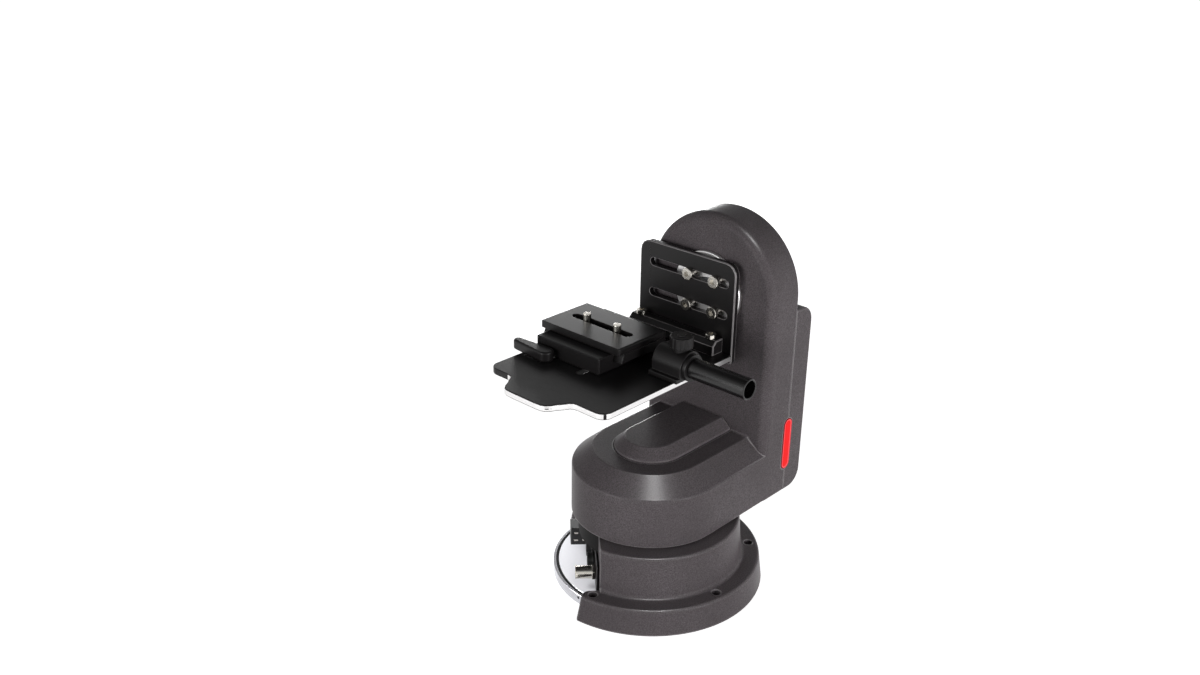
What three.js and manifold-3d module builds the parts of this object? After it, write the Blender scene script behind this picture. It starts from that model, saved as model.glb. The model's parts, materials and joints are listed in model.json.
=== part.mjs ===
// Remote pan tilt head: a round base, a turning platform with one tall arm,
// and a tilting cradle that carries the camera beside the arm.
// Millimetres, +Z up. The origin is on the pan axis, at the underside of the base.
// +X points from the pan axis to the arm, -Y is the front that the lens looks to.

import * as THREE from 'three';
import { mergeVertices } from 'three/addons/utils/BufferGeometryUtils.js';
import Module from 'manifold-3d';

const wasm = await Module();
wasm.setup();

const deg = Math.PI / 180;

// Clearances and small edges shared by all pieces
const seatGap = 0.3;
const runningGap = 0.08;
const overrun = 2;
const smallEdge = 0.6;
const boltHole = 3.35;

// Pan bearing: a dark housing ring on the base, two races and a ring of balls.
// Its size drives the widths of the base below it and of the head above it.
const housingRadius = 57.9;
const housingDraft = 0.7;
const housingWall = 5.4;
const clampRingHeight = 1.2;
const clampRingWidth = 7.4;
const raceHeight = 8.8;
const raceWidth = 4.2;
const ballRadius = 2.2;
const ballCount = 12;
const cageWidth = 1.3;
const cageHeight = 3.4;
const raceGroove = 0.25;
const housingTopRadius = housingRadius - housingDraft;
const housingInner = housingTopRadius - housingWall;
const outerRaceOuter = housingInner - seatGap;
const outerRaceInner = outerRaceOuter - raceWidth;
const ballCircle = outerRaceInner - ballRadius + raceGroove * 3;
const innerRaceOuter = ballCircle - ballRadius + raceGroove * 3;
const innerRaceInner = innerRaceOuter - raceWidth;
const grooveRadius = ballRadius + raceGroove;

// Base casting: a drafted flange, a drum and a flat connector bay at the rear
const drumRim = 9.9;
const drumDraft = 2.9;
const flangeShelf = 16.2;
const flangeDraft = 2.7;
const flangeHeight = 20;
const drumRise = 32;
const castEdge = 1.6;
const footFillet = 2.4;
const baseTurn = 46.4 * deg;
const bayDepthShare = 0.4514;
const bayWidthShare = 0.657;
const bayCorner = 7.5;
const bayWall = 3.5;
const drumWall = 6;
const shelfDrop = 16.5;
const shelfThickness = 4;
const boltInset = 9.9;
const boltTurns = [0, 55.6, -55.6, 125.2, -125.2].map((turn) => turn * deg);
const housingBore = housingRadius + seatGap * 2;
const drumTopRadius = housingBore + drumRim;
const drumFootRadius = drumTopRadius + drumDraft;
const flangeRadius = drumFootRadius + flangeShelf;
const flangeTopRadius = flangeRadius - flangeDraft;
const drumTop = flangeHeight + drumRise;
const shelfTop = drumTop - shelfDrop;
const shelfBottom = shelfTop - shelfThickness;
const cavityRadius = drumTopRadius - drumWall;
const bayFlat = flangeRadius * bayDepthShare;
const bayHalfWidth = flangeRadius * bayWidthShare;
const boltCircle = flangeRadius - boltInset;

// Base plate: a machined disc under the casting, with a seal in its rim
const plateInset = 15.9;
const plateThickness = 8;
const plateChamfer = 0.8;
const sealInset = 3.1;
const sealWidth = 1.3;
const sealDepth = 1.7;
const plateRadius = flangeRadius - plateInset;
const sealRadius = plateRadius - sealInset;
const recessRadius = plateRadius + seatGap;
const recessTop = plateThickness + seatGap;

// Connector bay: a panel with its sockets in a row
const panelInset = 7.5;
const panelThickness = 1.8;
const panelCorner = 3;
const socketRise = 12.5;
const socketRadius = 6.9;
const socketReach = 5;
const socketPlaces = { power_connector: -4.6, data_connector: -20.6 };
const jackPlace = -36;
const jackRadius = 4.8;
const jackReach = 14.5;
const jackNut = 6.2;
const blockStart = 4.5;
const blockWidth = 15.5;
const blockDepth = 16.4;
const blockRise = 9.4;
const blockHeight = 14.4;
const slotWide = 3.8;
const slotTall = 2.3;
const slotDepth = 1.6;
const slotPitchAlong = 6.4;
const slotPitchUp = 6.3;
const slotEndShare = 1.15;
const panelHalfWidth = bayHalfWidth - panelInset;
const panelBack = bayFlat + seatGap;
const panelFront = panelBack + panelThickness;
const socketBack = panelFront + seatGap;
const socketHeight = plateThickness + socketRise;
const blockBottom = plateThickness + blockRise;
const blockReach = socketBack + blockDepth;

// Pan spindle, and the drive inside it: a pinion on the turning head rolls round a fixed sun gear
const spindleWall = 4;
const spindleFlange = 8;
const flangeThickness = 3;
const spindleOuter = innerRaceInner - seatGap;
const spindleBore = spindleOuter - spindleWall;
const sunTeeth = 30;
const pinionTeeth = 12;
const gearWidth = 7;
const gearSpread = 0.12;
const gearRoom = 1.05;
const addendumShare = 0.85;
const dedendumShare = 1.2;
const gearModule = (spindleBore - gearRoom) / (sunTeeth / 2 + pinionTeeth + addendumShare);
const pinionShaft = 3;
const sunBossShare = 0.64;
const cableBoreShare = 0.67;
const bossShoulder = 2.4;
const sunPitch = (gearModule * sunTeeth) / 2;
const pinionPitch = (gearModule * pinionTeeth) / 2;
const pinionDistance = sunPitch + pinionPitch + gearSpread;
const sunBossRadius = sunPitch * sunBossShare;
const cableBore = sunBossRadius * cableBoreShare;
const sunBottom = shelfTop + bossShoulder + seatGap;
const sunTop = sunBottom + gearWidth;

// Slip ring on the pan axis
const slipRadius = 11;
const slipFlange = 13;
const slipFlangeHeight = 2;
const slipRoom = 4.9;
const slipTube = 4.6;
const slipTubeBore = 2.8;
const slipLip = 1.8;

// Motors, and the row of parts along the tilt axis, counted outwards from the pan motor
const motorGap = 1.4;
const panMotorLength = 33;
const motorNose = 6.5;
const motorNoseHeight = 2;
const motorRoom = 2;
const tiltMotorRadius = 17.6;
const tiltMotorLength = 24;
const motorPlateThickness = 3;
const motorNeckShare = 0.78;
const motorEndShare = 0.8;
const motorEndRadiusShare = 0.93;
const motorBoreShare = 0.5;
const shaftReachShare = 0.4;
const bearingRadius = 16;
const bearingWidth = 5.6;
const bearingBossWall = 5;
const bearingDepth = 6;
const shaftWall = 5;
const pulleyWidth = 7;
const pulleyRoom = 5.1;
const pulleyFlange = 1;
const pulleyRim = 2;
const rotorFlange = slipTube + slipLip;
const panMotorRadius = pinionDistance - rotorFlange - motorGap;
const tiltShaftRadius = bearingRadius - bearingDepth;
const tiltShaftBore = tiltShaftRadius - shaftWall;
const tiltMotorFace = pinionDistance + panMotorRadius + motorRoom + tiltMotorLength;
const tiltPlateInner = tiltMotorFace + seatGap;
const tiltPlateOuter = tiltPlateInner + motorPlateThickness;
const pulleyStart = tiltPlateOuter + seatGap * 2;
const pulleyEnd = pulleyStart + pulleyWidth;
const bearingEnd = pulleyStart - seatGap * 6;
const bearingStart = bearingEnd - 2 * bearingWidth - seatGap;

// Head casting: platform with a round nose, and the arm
const housingStep = 0.1;
const panGap = 2;
const wallHeight = 38.4;
const topRise = 13;
const topInsetShare = 0.2586;
const cavitySlopeShare = 0.6;
const castWall = 4;
const armRound = 7;
const headHalfWidth = housingRadius + housingStep;
const topInset = headHalfWidth * topInsetShare;
const headBottom = drumTop + panGap;
const wallTop = headBottom + wallHeight;
const platformTop = wallTop + topRise;
const armInner = bearingStart - seatGap * 2;
const armSeam = pulleyEnd + pulleyRoom + castWall;

// Platform cap: the raised lid on the platform
const capShare = 0.4655;
const capTopShare = 0.7111;
const capRise = 8.6;
const capRecess = 1.5;
const capGap = 0.8;
const capWall = 3;
const capLip = 1.2;
const capEdge = 0.7;
const capSeat = 6;
const capHalfWidth = headHalfWidth * capShare;
const capTopHalfWidth = capHalfWidth * capTopShare;
const capTop = platformTop + capRise;
const capOpening = capHalfWidth - capSeat;

// Tilt axis: high enough for the tray's rear corner to swing clear of the cap
const swingRoom = 98;
const tiltHeight = capTop + swingRoom;

// Arm cover: the shell on the outside of the arm
const coverReach = 21;
const coverOverhang = 1;
const coverDrop = 9;
const coverCorner = 13;
const coverEdge = 1.6;
const coverWall = 3;
const coverPost = 3.5;
const coverScrewRadius = 3;
const coverScrewHead = 2;
const coverScrewInset = 13;
const coverBottom = headBottom - coverOverhang;
const coverTop = tiltHeight - coverDrop;

// Tally lamp across the seam
const lampRise = 18.6;
const lampLength = 42.7;
const lampHalfWidth = 5;
const lampDepth = 4.6;
const lampProud = 0.4;
const lampBoardThickness = 1.5;
const lampBottom = headBottom + lampRise;
const lampTop = lampBottom + lampLength;

// Control board
const boardThickness = 1.6;
const boardInset = 14;
const boardEdge = 13;
const boardHalfWidth = headHalfWidth - boardInset;

// Tilt drive: toothed belt from the motor pulley up to the tilt pulley
const beltPitch = 5;
const drivePulleyTeeth = 10;
const tiltPulleyTeeth = 36;
const toothDepth = 0.9;
const beltThickness = 1.5;
const beltGap = 0.35;
const motorRise = 26;
const tiltMotorHeight = headBottom + motorRise;

// Tilt hub and the side plate clamped to it
const hubRadius = 30;
const hubThickness = 3.4;
const sidePlateThickness = 5;
const sideFront = -30;
const sideRear = 60;
const sideDrop = 49;
const sideRise = 28;
const sideCorner = 9;
const sideFrontCorner = 2.5;
const slotHalfHeight = 3.2;
const slotFront = -24;
const slotRear = 50;
const clampSpread = 12;
const clampScrewRadius = 2.5;
const clampHeadRadius = 4.6;
const clampHeadHeight = 3.4;
const hubOuter = armInner - seatGap;
const hubInner = hubOuter - hubThickness;
const sideOuter = hubInner - seatGap;
const sideInner = sideOuter - sidePlateThickness;
const sideBottom = tiltHeight - sideDrop;
const sideTop = tiltHeight + sideRise;

// Bottom plate with a sculpted left edge
const trayDrop = 41;
const trayThickness = 5;
const trayLeft = -84;
const trayFront = -30;
const trayRear = 82;
const trayCorner = 8;
const trayBevel = 0.9;
const tabReach = 18;
const tabCentre = 28;
const tabHalfLength = 34;
const tabTipHalfLength = 11;
const shiftSlotPlaces = [28, 62];
const shiftSlotLeft = -46;
const shiftSlotRight = 34;
const cornerBlockWidth = 11.5;
const cornerBlockFront = -22;
const cornerBlockHeight = 11;
const cornerScrewRadius = 4;
const cornerScrewHead = 3.2;
const cornerScrewPlaces = [-15, 52];
const trayTop = tiltHeight - trayDrop;
const trayBottom = trayTop - trayThickness;
const trayRight = sideInner - seatGap;
const blockBase = trayTop + seatGap;
const cornerBlockInner = trayRight - cornerBlockWidth;

// Rod clamp, rod and knob
const rodRise = 9;
const rodRadius = 7.5;
const rodWall = 1.3;
const rodFront = -85;
const clampFront = -34;
const clampRear = -8;
const rodRear = clampRear;
const clampOuter = 11.5;
const clampFootHalf = 15;
const clampFootHeight = 3.4;
const clampCollar = 10;
const clampCollarReach = 3;
const clampBossRadius = 6;
const knobPlace = -25;
const knobRadius = 8.6;
const knobHeight = 9;
const knobFlutes = 12;
const knobFluteDepth = 0.7;
const knobStem = 3;
const rodHeight = trayTop + rodRise;

// Quick release base, lever and camera plate
const releaseLeft = -42;
const releaseRoom = 10.2;
const releaseFront = 14;
const releaseRear = 76;
const releaseHeight = 12.7;
const channelFloor = 6.4;
const dovetailHalf = 21.5;
const dovetailSlope = 2.6;
const plateHalfWidth = 24;
const plateFront = 6;
const plateRear = 84;
const plateRise = 6;
const plateEdge = 1;
const screwSlotFront = 16;
const screwSlotRear = 74;
const screwSlotHalf = 3.5;
const screwWellHalf = 8.4;
const screwWellDepth = 5.4;
const cameraScrewPlaces = { camera_screw_front: 30, camera_screw_rear: 60 };
const cameraScrewRadius = 3.1;
const cameraScrewHead = 7.4;
const cameraScrewHeadHeight = 3.6;
const cameraScrewReach = 5;
const leverPlace = 60;
const leverHubRadius = 6;
const leverLength = 28;
const leverTipRadius = 3.6;
const leverHeight = 8;
const leverGap = 1;
const releaseRight = cornerBlockInner - releaseRoom;
const releaseCentre = (releaseLeft + releaseRight) / 2;
const releaseHalfWidth = (releaseRight - releaseLeft) / 2;
const releaseBottom = trayTop + seatGap;
const releaseTop = releaseBottom + releaseHeight;
const plateTop = releaseTop + plateRise;

// Facets
const roundSteps = 48;
const raceSteps = 40;
const ringSteps = 32;
const motorSteps = 16;
const smallSteps = 12;
const noseSteps = 24;
const cornerSteps = 4;
const filletSteps = 2;
const grooveSteps = 3;

// Solids: weld a geometry, drop collapsed triangles and make its faces point out
function weld(geometry) {
  const bare = geometry.clone();
  bare.deleteAttribute('normal');
  bare.deleteAttribute('uv');
  const merged = mergeVertices(bare, 1e-4);
  const position = merged.attributes.position;
  const source = merged.index.array;
  const index = [];
  let volume = 0;
  const corners = [new THREE.Vector3(), new THREE.Vector3(), new THREE.Vector3()];
  for (let i = 0; i < source.length; i += 3) {
    const [a, b, c] = [source[i], source[i + 1], source[i + 2]];
    if (a === b || b === c || c === a) continue;
    index.push(a, b, c);
    corners.forEach((corner, k) => corner.fromBufferAttribute(position, [a, b, c][k]));
    volume += corners[0].dot(corners[1].clone().cross(corners[2]));
  }
  if (volume < 0) {
    for (let i = 0; i < index.length; i += 3) {
      [index[i], index[i + 1]] = [index[i + 1], index[i]];
    }
  }
  const solid = new THREE.BufferGeometry();
  solid.setAttribute('position', position.clone());
  solid.setIndex(index);
  return solid;
}

function toManifold(geometry) {
  const solid = weld(geometry);
  const vertProperties = Float32Array.from(solid.attributes.position.array);
  const triVerts = Uint32Array.from(solid.index.array);
  return new wasm.Manifold(new wasm.Mesh({ numProp: 3, vertProperties, triVerts }));
}

function fromManifold(solid) {
  const mesh = solid.getMesh();
  const geometry = new THREE.BufferGeometry();
  geometry.setAttribute('position', new THREE.BufferAttribute(mesh.vertProperties, 3));
  geometry.setIndex(Array.from(mesh.triVerts));
  return geometry;
}

function join(...pieces) {
  return fromManifold(pieces.map(toManifold).reduce((sum, piece) => sum.add(piece)));
}

function cut(piece, ...tools) {
  const start = toManifold(piece);
  return fromManifold(tools.map(toManifold).reduce((rest, tool) => rest.subtract(tool), start));
}

// Outlines, all counter-clockwise
const point = (x, y) => new THREE.Vector2(x, y);

function arc(x, y, radius, from, to, steps) {
  const points = [];
  for (let i = 0; i <= steps; i++) {
    const angle = from + ((to - from) * i) / steps;
    points.push(point(x + radius * Math.cos(angle), y + radius * Math.sin(angle)));
  }
  return points;
}

function circle(radius, steps = ringSteps, x = 0, y = 0) {
  return arc(x, y, radius, 0, 2 * Math.PI, steps).slice(0, -1);
}

function rectangle(left, bottom, right, top) {
  return [point(left, bottom), point(right, bottom), point(right, top), point(left, top)];
}

// Rounded rectangle; radii go round from the lower left corner
function roundedRectangle(left, bottom, right, top, radii) {
  const [a, b, c, d] = Array.isArray(radii) ? radii : [radii, radii, radii, radii];
  const half = Math.PI / 2;
  return [
    ...arc(left + a, bottom + a, a, -2 * half, -half, cornerSteps),
    ...arc(right - b, bottom + b, b, -half, 0, cornerSteps),
    ...arc(right - c, top - c, c, 0, half, cornerSteps),
    ...arc(left + d, top - d, d, half, 2 * half, cornerSteps),
  ];
}

// Slot with round ends, along the first axis
function slotOutline(from, to, y, half) {
  const turn = Math.PI / 2;
  return [
    ...arc(from + half, y, half, turn, 3 * turn, cornerSteps * 2),
    ...arc(to - half, y, half, -turn, turn, cornerSteps * 2),
  ];
}

// Round nose at the origin, straight sides that end at a given x
function noseOutline(halfWidth, end) {
  const turn = Math.PI / 2;
  const nose = arc(0, 0, halfWidth, turn, 3 * turn, noseSteps);
  return [point(end, halfWidth), ...nose, point(end, -halfWidth)];
}

// Upright with a round top, seen along the X axis
function archOutline(halfWidth, foot, centre) {
  const round = arc(0, centre, halfWidth, 0, Math.PI, noseSteps);
  return [point(-halfWidth, foot), point(halfWidth, foot), ...round];
}

// Moves every corner of an outline inwards by a distance
function inset(outline, distance) {
  const count = outline.length;
  return outline.map((corner, i) => {
    const before = corner.clone().sub(outline[(i + count - 1) % count]).normalize();
    const after = outline[(i + 1) % count].clone().sub(corner).normalize();
    const normal = point(-before.y - after.y, before.x + after.x);
    const stretch = 2 / normal.lengthSq();
    return corner.clone().addScaledVector(normal, distance * stretch);
  });
}

// Loft through layers of equal point count, stacked along Z
function loft(layers) {
  const count = layers[0].outline.length;
  const positions = layers.flatMap(({ outline, z }) => outline.flatMap((p) => [p.x, p.y, z]));
  const index = [];
  for (let layer = 0; layer + 1 < layers.length; layer++) {
    for (let i = 0; i < count; i++) {
      const a = layer * count + i;
      const b = layer * count + ((i + 1) % count);
      index.push(a, b, b + count, a, b + count, a + count);
    }
  }
  const last = (layers.length - 1) * count;
  for (const [a, b, c] of THREE.ShapeUtils.triangulateShape(layers[0].outline, [])) {
    index.push(a, c, b);
  }
  for (const [a, b, c] of THREE.ShapeUtils.triangulateShape(layers[layers.length - 1].outline, [])) {
    index.push(last + a, last + b, last + c);
  }
  const geometry = new THREE.BufferGeometry();
  geometry.setAttribute('position', new THREE.Float32BufferAttribute(positions, 3));
  geometry.setIndex(index);
  return geometry;
}

function prism(outline, bottom, top) {
  return loft([{ outline, z: bottom }, { outline, z: top }]);
}

// Prism with chamfered edges at both ends
function bevelled(outline, bottom, top, bevel) {
  const small = inset(outline, bevel);
  return loft([
    { outline: small, z: bottom },
    { outline, z: bottom + bevel },
    { outline, z: top - bevel },
    { outline: small, z: top },
  ]);
}

// Revolved profile of [radius, height] points that closes on itself or ends on the axis
function lathe(profile, steps = ringSteps) {
  const points = profile.map(([radius, height]) => point(radius, height));
  const open = points[0].x > 0 || points[points.length - 1].x > 0;
  if (open) points.push(points[0].clone());
  return weld(new THREE.LatheGeometry(points, steps).rotateX(Math.PI / 2));
}

const asPairs = (points) => points.map((p) => [p.x, p.y]);

function ring(inner, outer, bottom, top, edge = 0, steps = ringSteps) {
  const profile = [[inner, bottom], [outer - edge, bottom]];
  if (edge > 0) profile.push([outer, bottom + edge], [outer, top - edge]);
  profile.push([outer - edge, top], [inner, top]);
  return lathe(profile, steps);
}

function disc(radius, bottom, top, edge = 0, steps = ringSteps) {
  const profile = [[0, bottom], [radius - edge, bottom]];
  if (edge > 0) profile.push([radius, bottom + edge], [radius, top - edge]);
  profile.push([radius - edge, top], [0, top]);
  return lathe(profile, steps);
}

// Turn a piece that was made along Z so that it lies along another axis
const alongX = new THREE.Matrix4().makeBasis(
  new THREE.Vector3(0, 1, 0), new THREE.Vector3(0, 0, 1), new THREE.Vector3(1, 0, 0));
const alongRear = new THREE.Matrix4().makeBasis(
  new THREE.Vector3(-1, 0, 0), new THREE.Vector3(0, 0, 1), new THREE.Vector3(0, 1, 0));
const alongFront = new THREE.Matrix4().makeBasis(
  new THREE.Vector3(1, 0, 0), new THREE.Vector3(0, 0, 1), new THREE.Vector3(0, -1, 0));
const lay = (geometry, matrix) => geometry.clone().applyMatrix4(matrix);
const move = (geometry, x, y, z) => geometry.clone().translate(x, y, z);

// Scene graph
const head = new THREE.Group();
const baseGroup = new THREE.Group();
baseGroup.rotation.z = baseTurn;
head.add(baseGroup);

function finish(color, roughness, metalness) {
  return { color, roughness, metalness };
}
const paint = finish(0x3a3a3c, 0.55, 0.2);
const paintDark = finish(0x242426, 0.6, 0.2);
const anodised = finish(0x1b1b1d, 0.4, 0.5);
const machined = finish(0xc9cbce, 0.3, 0.9);
const steel = finish(0x9a9da1, 0.3, 0.9);
const brass = finish(0xb9974a, 0.35, 0.9);
const blackPlastic = finish(0x161616, 0.5, 0);
const rubber = finish(0x101010, 0.85, 0);
const board = finish(0x1f5a36, 0.6, 0);
const lamp = finish(0xe0241f, 0.3, 0);

function add(name, geometry, look, group = head, place = [0, 0, 0]) {
  const mesh = new THREE.Mesh(weld(geometry), new THREE.MeshStandardMaterial(look));
  mesh.name = name;
  mesh.position.set(...place);
  group.add(mesh);
  return mesh;
}

// Gear outline with straight flanks, its first tooth on the +X axis
function gearOutline(teeth) {
  const pitchRadius = (gearModule * teeth) / 2;
  const backlashShare = 0.84;
  const halfTooth = (gearModule * Math.PI * backlashShare) / 4;
  const flank = Math.tan(20 * deg);
  const root = pitchRadius - gearModule * dedendumShare;
  const tip = pitchRadius + gearModule * addendumShare;
  const rootHalf = (halfTooth + flank * (pitchRadius - root)) / root;
  const tipHalf = (halfTooth - flank * (tip - pitchRadius)) / tip;
  const points = [];
  for (let tooth = 0; tooth < teeth; tooth++) {
    const middle = (2 * Math.PI * tooth) / teeth;
    for (const [radius, offset] of [[root, -rootHalf], [tip, -tipHalf], [tip, tipHalf], [root, rootHalf]]) {
      points.push(point(radius * Math.cos(middle + offset), radius * Math.sin(middle + offset)));
    }
  }
  return points;
}

// Base casting
function baseCasting() {
  const half = Math.PI / 2;
  const flangeEdgeArc = arc(flangeTopRadius - castEdge, flangeHeight - castEdge, castEdge, 0, half,
    filletSteps);
  const foot = arc(drumFootRadius + footFillet, flangeHeight + footFillet, footFillet, 3 * half, 2 * half,
    filletSteps);
  const rim = arc(drumTopRadius - castEdge, drumTop - castEdge, castEdge, 0, half, filletSteps);
  const body = lathe([
    [recessRadius, 0],
    [flangeRadius, 0],
    ...asPairs(flangeEdgeArc),
    ...asPairs(foot),
    ...asPairs(rim),
    [housingBore, drumTop],
    [housingBore, shelfTop],
    [sunBossRadius + bossShoulder, shelfTop],
    [sunBossRadius + bossShoulder, sunBottom - seatGap],
    [sunBossRadius, sunBottom - seatGap],
    [sunBossRadius, sunTop],
    [cableBore, sunTop],
    [cableBore, recessTop],
    [recessRadius, recessTop],
  ], roundSteps);
  const innerFlat = bayFlat - bayWall;
  const cornerAngle = Math.asin(innerFlat / cavityRadius);
  const cavity = prism(
    arc(0, 0, cavityRadius, Math.PI - cornerAngle, 2 * Math.PI + cornerAngle, roundSteps),
    recessTop - overrun, shelfBottom);
  const rearCut = prism(rectangle(-flangeRadius, bayFlat, flangeRadius, flangeRadius + overrun),
    flangeHeight, drumTop + overrun);
  return cut(body, cavity, rearCut, bayNotch(), ...boltHoles());
}

// The notch in the flange in front of the bay, with the flange's corners rounded
function bayNotch() {
  const centreX = bayHalfWidth + bayCorner;
  const centreY = Math.sqrt((flangeRadius - bayCorner) ** 2 - centreX ** 2);
  const tangent = Math.atan2(centreY, centreX);
  const right = arc(centreX, centreY, bayCorner, Math.PI, tangent, 8);
  const reach = flangeRadius + overrun;
  const outside = point(reach * Math.cos(tangent), reach * Math.sin(tangent));
  const side = [point(bayHalfWidth, bayFlat), ...right, outside, point(outside.x, reach)];
  const mirrored = side.map((p) => point(-p.x, p.y)).reverse();
  return prism([...mirrored.slice(-1), ...side, ...mirrored.slice(0, -1)], -overrun, flangeHeight + overrun);
}

function boltHoles() {
  return boltTurns.map((turn) => {
    const x = boltCircle * Math.sin(turn);
    const y = -boltCircle * Math.cos(turn);
    return move(disc(boltHole, -overrun, flangeHeight + overrun, 0, smallSteps), x, y, 0);
  });
}

add('base_casting', baseCasting(), paint, baseGroup);

const sealInner = sealRadius - sealWidth / 2;
const sealOuter = sealRadius + sealWidth / 2;
add('base_plate', lathe([
  [0, 0],
  [plateRadius - plateChamfer, 0],
  [plateRadius, plateChamfer],
  [plateRadius, plateThickness - plateChamfer],
  [plateRadius - plateChamfer, plateThickness],
  [sealOuter + seatGap, plateThickness],
  [sealOuter + seatGap, plateThickness - sealDepth - seatGap],
  [sealInner - seatGap, plateThickness - sealDepth - seatGap],
  [sealInner - seatGap, plateThickness],
  [0, plateThickness],
], roundSteps), machined, baseGroup);
add('base_seal', ring(sealInner, sealOuter, plateThickness - sealDepth, plateThickness, 0, roundSteps),
  rubber, baseGroup);

// Connector panel and its sockets. They are drawn facing the rear, in the turned base group.
const panelBottom = plateThickness + seatGap * 4;
const panelTop = shelfTop - seatGap * 4;
add('connector_panel', lay(bevelled(
  roundedRectangle(-panelHalfWidth, panelBottom, panelHalfWidth, panelTop, panelCorner),
  panelBack, panelFront, smallEdge), alongRear), anodised, baseGroup);

function roundSocket() {
  const collarShare = 0.86;
  const mouthShare = 0.68;
  const rimShare = 0.3;
  const floorShare = 0.35;
  const collar = socketRadius * collarShare;
  const mouth = socketRadius * mouthShare;
  return lay(lathe([
    [0, 0],
    [socketRadius, 0],
    [socketRadius, socketReach * rimShare],
    [collar, socketReach * rimShare],
    [collar, socketReach],
    [mouth, socketReach],
    [mouth, socketReach * floorShare],
    [0, socketReach * floorShare],
  ], motorSteps), alongRear);
}
for (const [name, place] of Object.entries(socketPlaces)) {
  add(name, roundSocket(), blackPlastic, baseGroup, [place, socketBack, socketHeight]);
}

// Coaxial jack with two bayonet studs and a centre contact
function coaxialJack() {
  const nutThicknessShare = 0.17;
  const boreShare = 0.78;
  const contactShare = 0.16;
  const nut = jackReach * nutThicknessShare;
  const barrel = lathe([
    [0, 0],
    [jackNut, 0],
    [jackNut, nut],
    [jackRadius, nut],
    [jackRadius, jackReach],
    [jackRadius * boreShare, jackReach],
    [jackRadius * boreShare, nut],
    [jackRadius * contactShare, nut],
    [jackRadius * contactShare, jackReach - nut],
    [0, jackReach - nut],
  ], motorSteps);
  const studShare = 0.2;
  const studSinkShare = 0.25;
  const studRadius = jackRadius * studShare;
  const studFoot = -jackRadius * boreShare - studRadius * studSinkShare;
  const stud = lay(disc(studRadius, -jackRadius - studRadius, studFoot, 0, 8), alongX);
  const studs = [0, 1].map((side) => move(stud.clone().rotateZ(side * Math.PI), 0, 0, jackReach - nut));
  return lay(join(barrel, ...studs), alongRear);
}
add('coaxial_jack', coaxialJack(), machined, baseGroup, [jackPlace, socketBack, socketHeight]);

// Terminal block: a pluggable block whose screws face sideways, in two rows of two
const blockEnd = blockStart + blockWidth;
const slotCentres = [];
for (const row of [-1, 1]) {
  for (const column of [-1, 1]) {
    const along = blockReach - slotPitchAlong * slotEndShare + (column * slotPitchAlong) / 2;
    const up = blockBottom + blockHeight / 2 + (row * slotPitchUp) / 2;
    slotCentres.push([along, up]);
  }
}
function terminalBlock() {
  const body = bevelled(rectangle(socketBack, blockBottom, blockReach, blockBottom + blockHeight),
    blockStart, blockEnd, smallEdge);
  const wells = slotCentres.map(([along, up]) => prism(
    rectangle(along - slotWide / 2, up - slotTall / 2, along + slotWide / 2, up + slotTall / 2),
    blockStart - overrun, blockStart + slotDepth));
  return lay(cut(body, ...wells), alongX);
}
add('terminal_block', terminalBlock(), blackPlastic, baseGroup);
slotCentres.forEach(([along, up], i) => {
  const wide = slotWide / 2 - seatGap;
  const tall = slotTall / 2 - seatGap;
  const screw = prism(rectangle(along - wide, up - tall, along + wide, up + tall),
    blockStart + seatGap, blockStart + slotDepth - seatGap);
  add(`terminal_screw_${i + 1}`, lay(screw, alongX), machined, baseGroup);
});

// Pan bearing and sun gear
const clampRingBottom = shelfTop + seatGap;
const clampRingTop = clampRingBottom + clampRingHeight;
add('pan_clamp_ring', ring(housingRadius - clampRingWidth, housingRadius - seatGap, clampRingBottom,
  clampRingTop, 0, roundSteps), machined);

const housingBottom = clampRingTop + seatGap;
const housingTop = headBottom - seatGap;
add('pan_bearing_housing', lathe([
  [housingInner, housingBottom],
  [housingRadius - castEdge / 2, housingBottom],
  [housingRadius, housingBottom + castEdge / 2],
  [housingTopRadius, housingTop],
  [housingInner, housingTop],
], roundSteps), paintDark);

const raceBottom = housingBottom + castEdge / 2;
const raceTop = raceBottom + raceHeight;
const raceMiddle = (raceBottom + raceTop) / 2;

// Groove arc of a race: the part of a circle round the ball's centre that bites into the race
function grooveArc(raceRadius, side) {
  const spread = Math.acos(Math.abs(raceRadius - ballCircle) / grooveRadius);
  const middle = side > 0 ? 0 : Math.PI;
  return arc(ballCircle, raceMiddle, grooveRadius, middle + side * spread, middle - side * spread,
    grooveSteps);
}
add('pan_outer_race', lathe([
  [outerRaceInner, raceBottom],
  [outerRaceOuter, raceBottom],
  [outerRaceOuter, raceTop],
  [outerRaceInner, raceTop],
  ...asPairs(grooveArc(outerRaceInner, 1)),
], raceSteps), steel);
add('pan_inner_race', lathe([
  [innerRaceInner, raceBottom],
  [innerRaceOuter, raceBottom],
  ...asPairs(grooveArc(innerRaceOuter, -1)).reverse(),
  [innerRaceOuter, raceTop],
  [innerRaceInner, raceTop],
], raceSteps), steel);

function ballRing() {
  const cage = ring(ballCircle - cageWidth / 2, ballCircle + cageWidth / 2,
    raceMiddle - cageHeight / 2, raceMiddle + cageHeight / 2, 0, ballCount * 2);
  const balls = [];
  for (let i = 0; i < ballCount; i++) {
    const angle = (2 * Math.PI * i) / ballCount;
    const ball = new THREE.SphereGeometry(ballRadius, 8, 4);
    balls.push(move(ball, ballCircle * Math.cos(angle), ballCircle * Math.sin(angle), raceMiddle));
  }
  return join(cage, ...balls);
}
add('pan_ball_ring', ballRing(), steel);

const sunBore = disc(sunBossRadius + seatGap, -overrun, gearWidth + overrun);
add('pan_sun_gear', cut(prism(gearOutline(sunTeeth), 0, gearWidth), sunBore), brass, head,
  [0, 0, sunBottom]);

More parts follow.
